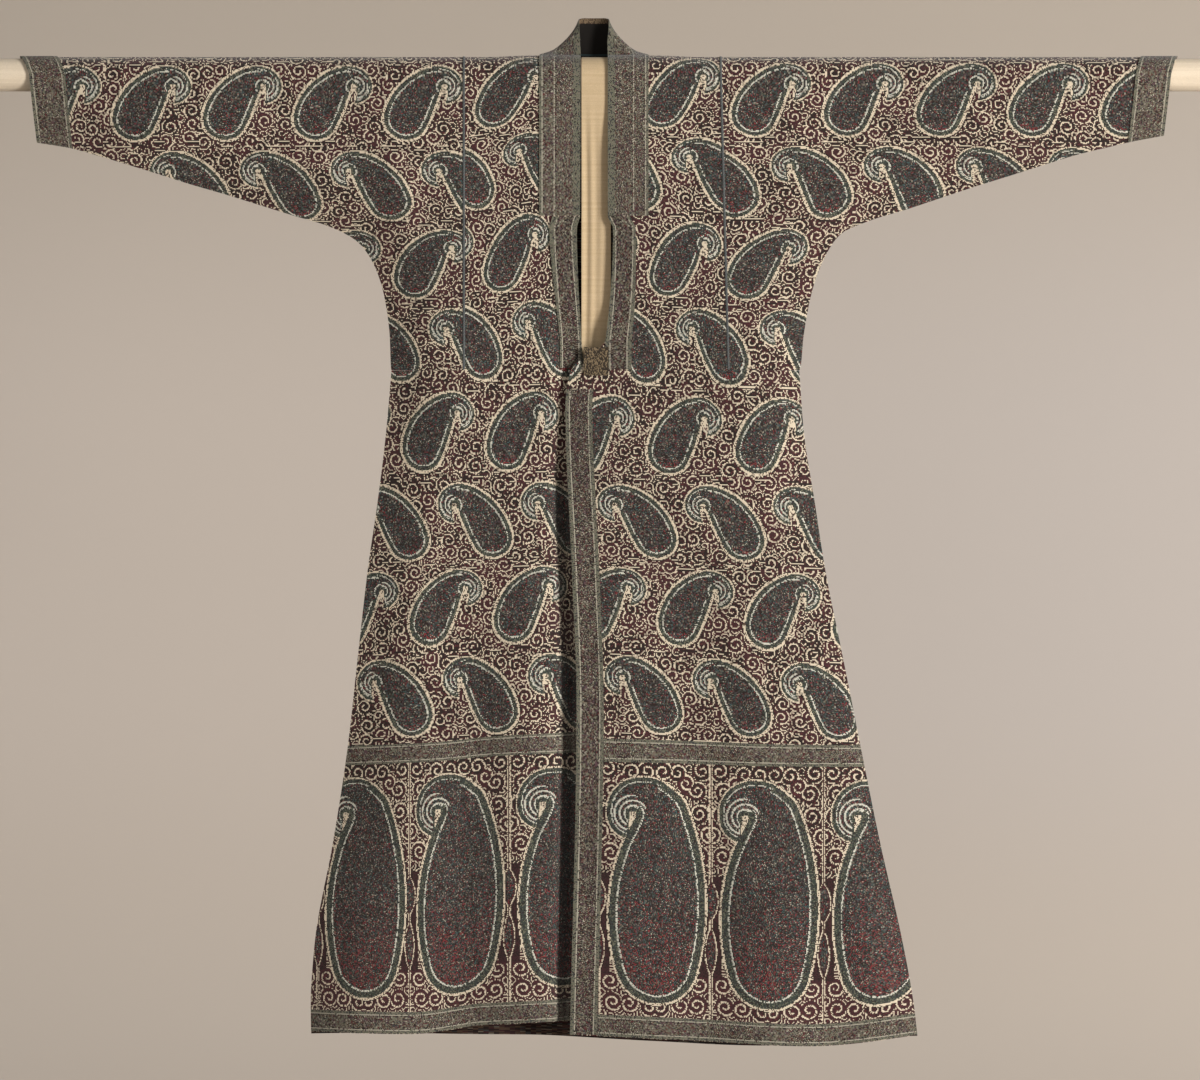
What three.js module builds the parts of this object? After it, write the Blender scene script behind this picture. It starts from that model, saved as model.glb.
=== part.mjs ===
// Choga robe of woven shawl cloth, hung flat on a covered rod that runs through both sleeves.
// Millimetres, +Z up. The origin is the middle of the rod's axis, where the robe is held up.
// The fronts face -Y. "right" and "left" are the wearer's own, so the right half lies at -X.
import * as THREE from "three";

// ---- Driving sizes ----
const WALL = 1.5; // thickness of the shawl cloth
const BAND_WALL = 1.0; // thickness of an applied band
const LIFT = 0.45; // a band above the cloth under it
const SEAM = 0.2; // half the gap between two pieces at a seam
const ROD = { core: 19.7, coverIn: 20.0, coverOut: 21.5, coreHalf: 820, coverHalf: 812, sides: 16 };
const DROP = { middle: -5, half: 19, columns: 10, wall: 1.0, clear: 0.6, tailDeg: 22.5, bottom: -384 };
const NECK = { middle: -8, seamHalf: 71, bandBottom: -184 };
const ARMHOLE = { right: 177, left: 157, flareLeft: 10 };
const SLIT_FOOT = -345; // height at which the free edges of the slit turn towards each other
const JOIN = -384; // height of the level seam between sleeve and side panel
const EDGE_ROUND = 78; // how far in from the outline the flat tube rounds over
const CLOTH_ON_ROD = 21.8; // inner radius of the cloth where it lies on the rod
const DROP_ROOM = 1.9; // extra radius at the neck, over the muslin drop
const OVERLAP = { from: -76, to: -42, top: -292, full: -352, depth: 10 };
const EDGE_BAND = { width: 35, top: -409 };
const HEM_BAND = 29; // height of the band along the hem
const SLIT_WIDTH = { top: { right: 36, left: 29 }, foot: { right: 29, left: 34 } };
const SLIT_END = { right: -381, left: -383 };
const TRIM = 0.01; // share of a grid row left clear at a level band's two edges
const STAY = { left: -21, right: 11, top: -354, bottom: -391 };
const ROD_STEPS = 4; // grid rows from the crest of the rod to its side
const UPPER_ROWS = 9; // rows from the rod to the level seam
const SKIRT_ROWS = 11; // rows from the level seam to the skirt band
const BORDER_ROWS = 7; // rows from the skirt band to the hem band
const SLEEVE_ROWS = 6; // rows from the rod to the underarm seam

// ---- Tables of the cut ----
// A sleeve's lines, from the armhole to the cuff: distance out from the origin on the crest, at
// the rod's side and at the lower end, and the height of the lower end.
const SLEEVES = {
  right: [
    { crest: 177, rod: 177, out: 177, low: JOIN },
    { crest: 205, rod: 205, out: 208, low: JOIN },
    { crest: 232, rod: 232, out: 240, low: JOIN },
    { crest: 258, rod: 258, out: 271, low: JOIN },
    { crest: 281, rod: 281, out: 273.5, low: -337 },
    { crest: 303, rod: 303, out: 280, low: -290 },
    { crest: 325, rod: 325, out: 292, low: -251 },
    { crest: 348, rod: 348, out: 314, low: -218 },
    { crest: 376, rod: 376, out: 352, low: -197 },
    { crest: 412, rod: 412, out: 398, low: -183 },
    { crest: 452, rod: 452, out: 443, low: -169 },
    { crest: 494, rod: 494, out: 488, low: -155 },
    { crest: 538, rod: 537, out: 533, low: -142 },
    { crest: 584, rod: 581, out: 577, low: -128 },
    { crest: 630, rod: 624, out: 619, low: -115 },
    { crest: 672, rod: 662, out: 656, low: -104 },
    { crest: 711, rod: 698, out: 689, low: -95 },
    { crest: 754, rod: 741, out: 732, low: -88 },
  ],
  left: [
    { crest: 157, rod: 157, out: 167, low: JOIN },
    { crest: 187, rod: 187, out: 198, low: JOIN },
    { crest: 217, rod: 217, out: 229, low: JOIN },
    { crest: 246, rod: 246, out: 259, low: JOIN },
    { crest: 272, rod: 272, out: 265, low: -337 },
    { crest: 297, rod: 297, out: 274, low: -288 },
    { crest: 321, rod: 321, out: 288, low: -246 },
    { crest: 347, rod: 347, out: 313, low: -207 },
    { crest: 377, rod: 377, out: 352, low: -189 },
    { crest: 413, rod: 413, out: 398, low: -175 },
    { crest: 453, rod: 453, out: 443, low: -160 },
    { crest: 495, rod: 495, out: 488, low: -145 },
    { crest: 538, rod: 538, out: 533, low: -131 },
    { crest: 583, rod: 581, out: 577, low: -117 },
    { crest: 629, rod: 623, out: 619, low: -104 },
    { crest: 671, rod: 663, out: 656, low: -95 },
    { crest: 708, rod: 699, out: 690, low: -87 },
    { crest: 751, rod: 741, out: 733, low: -79 },
  ],
};

// The side seams below the level seam: distance out from the origin at each height.
const SIDES = [
  { z: -384, right: 271, left: 259 },
  { z: -464, right: 278, left: 265 },
  { z: -554, right: 289, left: 279 },
  { z: -644, right: 302, left: 293 },
  { z: -758, right: 315, left: 316 },
  { z: -874, right: 328, left: 339 },
  { z: -997, right: 347, left: 364 },
  { z: -1130, right: 371, left: 394 },
  { z: -1209, right: 376, left: 408 },
  { z: -1262, right: 375, left: 414 },
];

// The centre-front edges, as x: the right front runs on under the left one below the slit.
const FRONT_EDGES = [
  { z: 30, right: -25, left: 10 },
  { z: -184, right: -26, left: 10 },
  { z: -200, right: -30, left: 17 },
  { z: -345, right: -24, left: 7 },
  { z: -384, right: -20, left: -38 },
  { z: -430, right: 2, left: -45 },
  { z: -644, right: 8, left: -36 },
  { z: -820, right: 6, left: -30 },
  { z: -1262, right: 0, left: -39 },
];

// Level lines across each panel: the height at a share of the way from the side seam (0) to the
// far edge (1). bandTop and bandLow bound the skirt band, hem is the lower edge.
const LEVELS = {
  right: [
    { share: 0, bandTop: -872, bandLow: -898, hem: -1243 },
    { share: 0.35, bandTop: -866, bandLow: -892, hem: -1245 },
    { share: 0.6, bandTop: -858, bandLow: -885, hem: -1234 },
    { share: 1, bandTop: -852, bandLow: -880, hem: -1227 },
  ],
  left: [
    { share: 0, bandTop: -871, bandLow: -900, hem: -1248 },
    { share: 0.3, bandTop: -869, bandLow: -899, hem: -1261 },
    { share: 0.65, bandTop: -864, bandLow: -895, hem: -1254 },
    { share: 1, bandTop: -860, bandLow: -892, hem: -1246 },
  ],
  back: [
    { share: 0, bandTop: -872, bandLow: -899, hem: -1246 },
    { share: 0.35, bandTop: -874, bandLow: -901, hem: -1249 },
    { share: 0.75, bandTop: -874, bandLow: -902, hem: -1263 },
    { share: 1, bandTop: -871, bandLow: -900, hem: -1249 },
  ],
};

// How far the front and the back stand from the middle plane, away from the outline.
const DEPTHS = [
  { z: 0, depth: CLOTH_ON_ROD },
  { z: -70, depth: 20.5 },
  { z: -180, depth: 18.5 },
  { z: -330, depth: 17.5 },
  { z: -560, depth: 18.5 },
  { z: -820, depth: 21 },
  { z: -1060, depth: 24.5 },
  { z: -1270, depth: 28 },
];

// The largest folds, running down from top to low: where each lies at its two ends, its half
// width and how far it stands out (or in, below zero) at the low end.
const FOLDS = {
  front: [
    { topX: -196, lowX: -262, top: -330, low: -1250, half: 46, rise: 6 },
    { topX: -150, lowX: -170, top: -420, low: -1250, half: 44, rise: -5 },
    { topX: -112, lowX: -104, top: -300, low: -1250, half: 34, rise: 5 },
    { topX: 34, lowX: 52, top: -420, low: -1250, half: 44, rise: 4 },
    { topX: 96, lowX: 138, top: -360, low: -1250, half: 46, rise: -5 },
    { topX: 150, lowX: 226, top: -300, low: -1250, half: 48, rise: 6 },
    { topX: 205, lowX: 318, top: -400, low: -1250, half: 44, rise: -4 },
  ],
  back: [
    { topX: -188, lowX: -270, top: -300, low: -1250, half: 48, rise: 6 },
    { topX: -120, lowX: -172, top: -260, low: -1250, half: 46, rise: -5 },
    { topX: -58, lowX: -78, top: -200, low: -1250, half: 42, rise: 6 },
    { topX: 0, lowX: 14, top: -240, low: -1250, half: 44, rise: -6 },
    { topX: 62, lowX: 104, top: -200, low: -1250, half: 42, rise: 6 },
    { topX: 126, lowX: 206, top: -260, low: -1250, half: 48, rise: -5 },
    { topX: 186, lowX: 306, top: -300, low: -1250, half: 46, rise: 6 },
  ],
};

// The standing part of the neck band on one side, from the shoulder to the middle of the back:
// half width, depth and height of the sewn edge and of the free edge.
const COLLAR = [
  { seamHalf: 67, seamY: 4, seamZ: 25.4, freeHalf: 17.5, freeY: 1, freeZ: 42 },
  { seamHalf: 56, seamY: 9.5, seamZ: 23.6, freeHalf: 19, freeY: 6, freeZ: 63.5 },
  { seamHalf: 38, seamY: 14.5, seamZ: 20.8, freeHalf: 19, freeY: 13, freeZ: 72.5 },
  { seamHalf: 17, seamY: 17.2, seamZ: 19, freeHalf: 12, freeY: 20, freeZ: 75 },
  { seamHalf: 0, seamY: 17.8, seamZ: 18.6, freeHalf: 0, freeY: 23, freeZ: 75 },
];

// ---- Colours ----
const FINISH = {
  shawl: { color: 0x72645a, roughness: 0.86 },
  band: { color: 0x665c50, roughness: 0.88 },
  muslin: { color: 0xd8c8b2, roughness: 0.92 },
  drop: { color: 0xc3a884, roughness: 0.92 },
  wood: { color: 0xb08b5c, roughness: 0.6 },
};

// ---- Small helpers ----
const lerp = (a, b, t) => a + (b - a) * t;

// The values of a function of a share, taken at even steps from 0 to 1.
const evenly = (steps, valueAt) => Array.from({ length: steps + 1 }, (_, i) => valueAt(i / steps));

const smooth = (from, to, x) => {
  const t = Math.min(1, Math.max(0, (x - from) / (to - from)));
  return t * t * (3 - 2 * t);
};

// Reads one column of a table at a place along its key column, straight between the rows.
function lookUp(table, key, at, column) {
  const down = table[0][key] > table[table.length - 1][key];
  let i = 1;
  while (i < table.length - 1 && (down ? at < table[i][key] : at > table[i][key])) i += 1;
  const a = table[i - 1];
  const b = table[i];
  const t = Math.min(1, Math.max(0, (at - a[key]) / (b[key] - a[key])));
  return lerp(a[column], b[column], t);
}

// ---- The form of the hung cloth ----
// The outline of each half: the underarm curve from the cuff, then the side seam to the hem.
function outlineOf(side) {
  const sign = side === "right" ? -1 : 1;
  const under = SLEEVES[side].filter((line) => line.low > JOIN).reverse();
  const points = under.map((line) => new THREE.Vector2(sign * line.out, line.low));
  SIDES.forEach((row) => points.push(new THREE.Vector2(sign * row[side], row.z)));
  return points;
}

const OUTLINES = { right: outlineOf("right"), left: outlineOf("left") };

// The shortest way from a point of the flat robe to its outline.
function toOutline(x, z) {
  const outline = x < NECK.middle ? OUTLINES.right : OUTLINES.left;
  const point = new THREE.Vector2(x, z);
  const along = new THREE.Vector2();
  const away = new THREE.Vector2();
  let nearest = Infinity;
  for (let i = 1; i < outline.length; i += 1) {
    along.subVectors(outline[i], outline[i - 1]);
    away.subVectors(point, outline[i - 1]);
    const t = THREE.MathUtils.clamp(away.dot(along) / along.lengthSq(), 0, 1);
    nearest = Math.min(nearest, away.addScaledVector(along, -t).length());
  }
  return nearest;
}

// Radius of the cloth's inner face over the rod: a little more at the neck, over the drop.
function rodRadius(x) {
  const fromMiddle = Math.abs(x - NECK.middle);
  return CLOTH_ON_ROD + DROP_ROOM * (1 - smooth(NECK.seamHalf + 12, NECK.seamHalf + 70, fromMiddle));
}

// Sum of the large folds: each a soft ridge across, rising from nothing at its top.
function foldsAt(face, x, z) {
  return FOLDS[face].reduce((sum, fold) => {
    const down = THREE.MathUtils.clamp((fold.top - z) / (fold.top - fold.low), 0, 1);
    const across = (x - lerp(fold.topX, fold.lowX, down)) / fold.half;
    return sum + fold.rise * smooth(0, 0.7, down) * Math.exp(-across * across);
  }, 0);
}

// Distance of the inner face from the middle plane: a flat tube that rounds over to its outline.
function halfDepth(piece, x, z) {
  const face = piece === "back" ? "back" : "front";
  const neckRoom = rodRadius(x) - CLOTH_ON_ROD;
  const open = lookUp(DEPTHS, "z", z, "depth") + neckRoom * smooth(-420, -120, z);
  const share = Math.min(1, toOutline(x, z) / EDGE_ROUND);
  let depth = SEAM + (open - SEAM + foldsAt(face, x, z)) * Math.sin((share * Math.PI) / 2);
  if (piece === "right") {
    depth -= OVERLAP.depth * smooth(OVERLAP.from, OVERLAP.to, x) * smooth(OVERLAP.top, OVERLAP.full, z);
  }
  return depth;
}

// One point of the cloth below the rod, with the direction that faces out of the robe.
function hangingPoint(piece, x, z) {
  const facing = piece === "back" ? 1 : -1;
  const step = 1;
  const slopeX = (halfDepth(piece, x + step, z) - halfDepth(piece, x - step, z)) / (2 * step);
  const slopeZ = (halfDepth(piece, x, z + step) - halfDepth(piece, x, z - step)) / (2 * step);
  return {
    point: new THREE.Vector3(x, facing * halfDepth(piece, x, z), z),
    normal: new THREE.Vector3(-slopeX, facing, z > -step ? 0 : -slopeZ).normalize(),
  };
}

// One point of the cloth on the rod, at an angle from the crest towards the front or the back.
function rodPoint(piece, x, angle) {
  const facing = piece === "back" ? 1 : -1;
  const normal = new THREE.Vector3(0, facing * Math.sin(angle), Math.cos(angle));
  return { point: normal.clone().multiplyScalar(rodRadius(x)).setX(x), normal };
}

// Where a seam runs along the crest, the cloth starts this far round from it.
const CREST_START = SEAM / CLOTH_ON_ROD;

const rodAngle = (row, start) => lerp(start, Math.PI / 2, row / ROD_STEPS);

// ---- Cloth walls from grids ----
// Closes a wall round a grid of { inner, outer } points. A missing cell is null in the grid's
// cells, and every open edge of the cells that are there gets a rim.
function wallGeometry(grid, present = () => true) {
  const rows = grid.length;
  const columns = grid[0].length;
  const positions = [];
  const index = [];
  const ids = grid.map((line) => line.map((node) => {
    if (!node) return -1;
    positions.push(...node.outer.toArray(), ...node.inner.toArray());
    return positions.length / 3 - 2;
  }));
  const there = (r, c) => r >= 0 && c >= 0 && r < rows - 1 && c < columns - 1 && present(r, c);
  const quad = (a, b, c, d) => index.push(a, b, c, a, c, d);
  for (let r = 0; r < rows - 1; r += 1) {
    for (let c = 0; c < columns - 1; c += 1) {
      if (!there(r, c)) continue;
      const corner = [ids[r][c], ids[r][c + 1], ids[r + 1][c + 1], ids[r + 1][c]];
      const [a, b, d, e] = corner;
      quad(a, b, d, e);
      quad(e + 1, d + 1, b + 1, a + 1);
      if (!there(r - 1, c)) quad(b, a, a + 1, b + 1);
      if (!there(r, c + 1)) quad(d, b, b + 1, d + 1);
      if (!there(r + 1, c)) quad(e, d, d + 1, e + 1);
      if (!there(r, c - 1)) quad(a, e, e + 1, a + 1);
    }
  }
  const geometry = new THREE.BufferGeometry();
  geometry.setAttribute("position", new THREE.Float32BufferAttribute(positions, 3));
  geometry.setIndex(volumeOf(positions, index) < 0 ? index.reverse() : index);
  geometry.computeVertexNormals();
  return geometry;
}

// Six times the signed volume inside a closed set of triangles.
function volumeOf(positions, index) {
  let sum = 0;
  const corner = (i) => new THREE.Vector3().fromArray(positions, index[i] * 3);
  for (let i = 0; i < index.length; i += 3) {
    sum += corner(i).dot(corner(i + 1).cross(corner(i + 2)));
  }
  return sum;
}

// Gives each surface point a wall of cloth that starts at a height above it.
function thicken(surface, from, thickness) {
  return surface.map((line) => line.map((node) => node && {
    inner: node.point.clone().addScaledVector(node.normal, from),
    outer: node.point.clone().addScaledVector(node.normal, from + thickness),
  }));
}

function meshOf(name, geometry, finish) {
  const material = new THREE.MeshStandardMaterial({ ...FINISH[finish], metalness: 0 });
  const mesh = new THREE.Mesh(geometry, material);
  mesh.name = name;
  return mesh;
}

// ---- Body panels ----
const armholeX = {
  right: () => -ARMHOLE.right + SEAM,
  left: (z) => lerp(ARMHOLE.left, ARMHOLE.left + ARMHOLE.flareLeft, Math.max(0, z / JOIN)) - SEAM,
};

const farEdge = (piece, z) => lookUp(FRONT_EDGES, "z", z, piece);

// Height of grid row r of a panel, at a share of the way from its side to its far edge.
function rowHeight(piece, r, share) {
  const level = (column) => lookUp(LEVELS[piece], "share", share, column);
  const top = level("bandTop");
  const low = level("bandLow");
  const hemTop = level("hem") + HEM_BAND;
  const upper = r - ROD_STEPS;
  const skirt = upper - UPPER_ROWS;
  const border = skirt - SKIRT_ROWS - 1;
  if (upper <= UPPER_ROWS) return (JOIN * upper) / UPPER_ROWS;
  if (skirt <= SKIRT_ROWS) return lerp(JOIN, top, skirt / SKIRT_ROWS);
  if (border <= BORDER_ROWS) return lerp(low, hemTop, border / BORDER_ROWS);
  return level("hem");
}

const ROWS = {
  join: ROD_STEPS + UPPER_ROWS,
  band: ROD_STEPS + UPPER_ROWS + SKIRT_ROWS,
  hemBand: ROD_STEPS + UPPER_ROWS + SKIRT_ROWS + 1 + BORDER_ROWS,
};
ROWS.hem = ROWS.hemBand + 1;

// Row of a front's grid at a height beside its free edge, between the rod and the skirt band.
function rowAt(side, z) {
  const bandTop = lookUp(LEVELS[side], "share", 1, "bandTop");
  if (z >= JOIN) return ROD_STEPS + (UPPER_ROWS * z) / JOIN;
  return ROWS.join + (SKIRT_ROWS * (JOIN - z)) / (JOIN - bandTop);
}

// The columns of a panel at the level seam run through the sleeve's lines, then evenly across.
const gussetColumns = SLEEVES.right.filter((line) => line.low === JOIN).length - 1;

// Surface points of a front: narrow above the level seam, full width below it.
function frontSurface(side, columns) {
  const sign = side === "right" ? -1 : 1;
  const joinX = (c) => (c < gussetColumns
    ? sign * SLEEVES[side][gussetColumns - c].out
    : lerp(armholeX[side](JOIN), farEdge(side, JOIN), (c - gussetColumns) / (columns - gussetColumns)));
  const share = (c) => (joinX(c) - joinX(0)) / (joinX(columns) - joinX(0));
  const surface = [];
  for (let r = 0; r <= ROWS.hem; r += 1) {
    surface.push(Array.from({ length: columns + 1 }, (_, c) => {
      if (r < ROWS.join && c < gussetColumns) return null;
      const across = (c - gussetColumns) / (columns - gussetColumns);
      if (r <= ROD_STEPS) {
        const x = lerp(armholeX[side](0), farEdge(side, 0), across);
        return rodPoint(side, x, rodAngle(r, CREST_START));
      }
      const z = rowHeight(side, r, share(c));
      if (r < ROWS.join) {
        return hangingPoint(side, lerp(armholeX[side](z), farEdge(side, z), across), z);
      }
      const sideX = sign * lookUp(SIDES, "z", rowHeight(side, r, 0), side);
      const edgeX = farEdge(side, rowHeight(side, r, 1));
      const seam = r === ROWS.join && c < gussetColumns ? SEAM : 0;
      return hangingPoint(side, lerp(sideX, edgeX, share(c)), z - seam);
    }));
  }
  return surface;
}

// Where the back's upper edge starts round from the crest, inside the neck seam.
function neckStart(x) {
  const half = Math.abs(x - NECK.middle);
  const table = [...COLLAR].reverse();
  if (half >= NECK.seamHalf) return CREST_START;
  const wide = { seamHalf: NECK.seamHalf, seamY: SEAM, seamZ: CLOTH_ON_ROD };
  const y = lookUp([...table, wide], "seamHalf", half, "seamY");
  const z = lookUp([...table, wide], "seamHalf", half, "seamZ");
  return Math.atan2(y, z) + (2 * SEAM) / CLOTH_ON_ROD;
}

// Surface points of the back: from the right side to the left side, with the neck cut out.
function backSurface(columns) {
  const inner = columns - 2 * gussetColumns;
  const joinX = (c) => {
    if (c < gussetColumns) return -SLEEVES.right[gussetColumns - c].out;
    if (c > columns - gussetColumns) return SLEEVES.left[c - columns + gussetColumns].out;
    return lerp(armholeX.right(JOIN), armholeX.left(JOIN), (c - gussetColumns) / inner);
  };
  const share = (c) => (joinX(c) - joinX(0)) / (joinX(columns) - joinX(0));
  const beside = (c) => c < gussetColumns || c > columns - gussetColumns;
  const surface = [];
  for (let r = 0; r <= ROWS.hem; r += 1) {
    surface.push(Array.from({ length: columns + 1 }, (_, c) => {
      if (r < ROWS.join && beside(c)) return null;
      const across = (c - gussetColumns) / inner;
      if (r <= ROD_STEPS) {
        const x = lerp(armholeX.right(0), armholeX.left(0), across);
        return rodPoint("back", x, rodAngle(r, neckStart(x)));
      }
      const z = rowHeight("back", r, share(c));
      if (r < ROWS.join) {
        return hangingPoint("back", lerp(armholeX.right(z), armholeX.left(z), across), z);
      }
      const rightX = -lookUp(SIDES, "z", rowHeight("back", r, 0), "right");
      const leftX = lookUp(SIDES, "z", rowHeight("back", r, 1), "left");
      const seam = r === ROWS.join && beside(c) ? SEAM : 0;
      return hangingPoint("back", lerp(rightX, leftX, share(c)), z - seam);
    }));
  }
  return surface;
}

const bothEnds = (surface) => (r, c) => surface[r][c] && surface[r][c + 1] && surface[r + 1][c]
  && surface[r + 1][c + 1];

const panelGeometry = (surface) => wallGeometry(thicken(surface, 0, WALL), bothEnds(surface));

// ---- Sleeves ----
// Surface points of a sleeve: each line runs from the front's underarm seam up over the rod and
// down to the back's, so the sleeve is one folded sheet.
function sleeveSurface(side) {
  const sign = side === "right" ? -1 : 1;
  const pointAt = (line, i, piece, row) => {
    const inset = i === 0 ? 2 * SEAM : 0;
    if (row <= ROD_STEPS) {
      const x = lerp(line.crest, line.rod, row / ROD_STEPS) + inset;
      return rodPoint(piece, sign * x, rodAngle(row, 0));
    }
    const t = (row - ROD_STEPS) / SLEEVE_ROWS;
    const seam = line.low === JOIN ? SEAM * t : 0;
    return hangingPoint(piece, sign * (lerp(line.rod, line.out, t) + inset), line.low * t + seam);
  };
  const rows = [];
  for (let row = ROD_STEPS + SLEEVE_ROWS; row >= 0; row -= 1) rows.push({ piece: side, row });
  for (let row = 1; row <= ROD_STEPS + SLEEVE_ROWS; row += 1) rows.push({ piece: "back", row });
  return rows.map(({ piece, row }) => SLEEVES[side].map((line, i) => pointAt(line, i, piece, row)));
}

// ---- Bands laid on a panel ----
// A point of a surface at a share of a row and of a column, straight between the grid's points.
function surfaceAt(surface, row, column) {
  const r = Math.min(Math.floor(row), surface.length - 2);
  const c = Math.min(Math.floor(column), surface[0].length - 2);
  const mix = (a, b, t) => ({
    point: a.point.clone().lerp(b.point, t),
    normal: a.normal.clone().lerp(b.normal, t).normalize(),
  });
  const upper = mix(surface[r][c], surface[r][c + 1], column - c);
  const lower = mix(surface[r + 1][c], surface[r + 1][c + 1], column - c);
  return mix(upper, lower, row - r);
}

// The column share at which a row of a surface passes through x.
function columnAt(surface, row, x) {
  const first = surface[Math.floor(row)].findIndex((node) => node);
  const last = surface[0].length - 1;
  const xAt = (c) => surfaceAt(surface, row, c).point.x;
  const rising = xAt(last) > xAt(first);
  let c = first + 1;
  while (c < last && (rising ? xAt(c) < x : xAt(c) > x)) c += 1;
  return THREE.MathUtils.clamp(c - 1 + (x - xAt(c - 1)) / (xAt(c) - xAt(c - 1)), first, last);
}

const bandGeometry = (surface) => wallGeometry(thicken(surface, WALL + LIFT, BAND_WALL));

// Grid shares from one place to another, through every whole step between them.
function sharesBetween(from, to) {
  const shares = [from];
  for (let whole = Math.floor(from) + 1; whole < to; whole += 1) {
    if (whole - from > 0.05 && to - whole > 0.05) shares.push(whole);
  }
  return [...shares, to];
}

// A band across a panel between two of its rows, from its side edge to a column near its far one.
function acrossBand(surface, topRow, lowRow, toColumn) {
  const rows = [topRow + TRIM, lowRow - TRIM];
  const whole = Math.floor(Math.min(...rows.map(toColumn)) - 0.05);
  return rows.map((row) => [...Array(whole + 1).keys(), toColumn(row)]
    .map((column) => surfaceAt(surface, row, column)));
}

// A band that runs down a panel beside its far edge, between two lines given as x at a height.
function downBand(surface, topRow, lowRow, outerX, innerX, columns) {
  return sharesBetween(topRow, lowRow).map((row) => {
    const height = surfaceAt(surface, row, surface[0].length - 1).point.z;
    const from = columnAt(surface, row, outerX(height));
    const to = columnAt(surface, row, innerX(height));
    return evenly(columns, (share) => surfaceAt(surface, row, lerp(from, to, share)));
  });
}

// ---- Neck band ----
// Lies on each front from the wide band's lower end to the shoulder, then stands up round the
// back of the neck. Each section is a straight line from the sewn edge to the free edge.
function neckBandGrid(right, left) {
  const columns = 3;
  const section = (seam, free, normal) => evenly(columns, (share) => (
    { point: seam.clone().lerp(free, share), normal }));
  const flat = (surface, sign) => {
    const side = sign < 0 ? "right" : "left";
    const sewn = () => NECK.middle + sign * NECK.seamHalf;
    const free = (height) => farEdge(side, height);
    const grid = downBand(surface, 0, rowAt(side, NECK.bandBottom), sewn, free, columns);
    return thicken(grid.reverse(), WALL + LIFT, BAND_WALL);
  };
  const standing = (row, sign) => {
    const seam = new THREE.Vector3(NECK.middle + sign * row.seamHalf, row.seamY, row.seamZ + WALL);
    const free = new THREE.Vector3(NECK.middle + sign * row.freeHalf, row.freeY, row.freeZ);
    return { seam, free };
  };
  const ends = [
    ...COLLAR.map((row) => standing(row, -1)),
    ...COLLAR.slice(0, -1).reverse().map((row) => standing(row, 1)),
  ];
  const collar = ends.map(({ seam, free }, i) => {
    const before = ends[Math.max(0, i - 1)];
    const after = ends[Math.min(ends.length - 1, i + 1)];
    const along = after.seam.clone().sub(before.seam).add(after.free).sub(before.free);
    const facing = free.clone().sub(seam).cross(along).normalize();
    return section(seam, free, facing);
  });
  return [...flat(right, -1), ...thicken(collar, 0, BAND_WALL), ...flat(left, 1).reverse()];
}

// ---- Closing stay, drop and rod ----
function staySurface() {
  const steps = 3;
  return evenly(steps, (down) => evenly(steps, (across) => (
    hangingPoint("left", lerp(STAY.left, STAY.right, across), lerp(STAY.top, STAY.bottom, down)))));
}

// The muslin drop: over the rod inside the neck, then down behind the slit in soft folds.
function dropGrid() {
  const ripples = 3;
  const rows = [];
  const tail = THREE.MathUtils.degToRad(DROP.tailDeg);
  rows.push({ piece: "back", angle: tail });
  for (let r = 0; r <= ROD_STEPS; r += 1) rows.push({ piece: "right", angle: rodAngle(r, 0) });
  const steps = Math.round(DROP.bottom / (JOIN / UPPER_ROWS));
  for (let r = 1; r <= steps; r += 1) rows.push({ piece: "right", z: (JOIN * r) / UPPER_ROWS });
  return rows.map(({ piece, angle, z }) => evenly(DROP.columns, (share) => {
    const x = DROP.middle + lerp(-DROP.half, DROP.half, share);
    const at = z === undefined ? rodPoint(piece, x, angle) : hangingPoint(piece, x, z);
    const fold = (1 - Math.cos(2 * Math.PI * ripples * share)) * smooth(-20, -120, z ?? 0);
    const outer = at.point.clone().addScaledVector(at.normal, -DROP.clear - fold);
    return { outer, inner: outer.clone().addScaledVector(at.normal, -DROP.wall) };
  }));
}

function rodCoverGeometry() {
  const profile = [
    new THREE.Vector2(ROD.coverIn, -ROD.coverHalf),
    new THREE.Vector2(ROD.coverOut, -ROD.coverHalf),
    new THREE.Vector2(ROD.coverOut, ROD.coverHalf),
    new THREE.Vector2(ROD.coverIn, ROD.coverHalf),
    new THREE.Vector2(ROD.coverIn, -ROD.coverHalf),
  ];
  return new THREE.LatheGeometry(profile, ROD.sides).rotateZ(Math.PI / 2);
}

// ---- The robe ----
const surfaces = {
  right_front: frontSurface("right", 11),
  left_front: frontSurface("left", 11),
  back: backSurface(17),
  right_sleeve: sleeveSurface("right"),
  left_sleeve: sleeveSurface("left"),
};

const lastColumn = (surface) => surface[0].length - 1;

// Inner line of a band that follows a front's free edge at the given width.
const besideEdge = (side, width) => (z) => farEdge(side, z) + (side === "right" ? -width : width);

// The narrow band beside the slit, straight down past the place where the fronts meet.
function openingBand(side) {
  const surface = surfaces[`${side}_front`];
  const width = (z) => lerp(
    SLIT_WIDTH.top[side], SLIT_WIDTH.foot[side], smooth(NECK.bandBottom, SLIT_FOOT, z));
  const free = (z) => farEdge(side, Math.max(z, SLIT_FOOT));
  const sewn = (z) => free(z) + (side === "right" ? -width(z) : width(z));
  const topRow = rowAt(side, NECK.bandBottom - 2 * SEAM);
  return bandGeometry(downBand(surface, topRow, rowAt(side, SLIT_END[side]), sewn, free, 1));
}

// The wide band down the left front's edge, from the stay to the hem.
function edgeBand() {
  const topRow = rowAt("left", EDGE_BAND.top);
  const sewn = besideEdge("left", EDGE_BAND.width);
  const free = (z) => farEdge("left", z);
  return bandGeometry(downBand(surfaces.left_front, topRow, ROWS.hem, sewn, free, 1));
}

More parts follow.
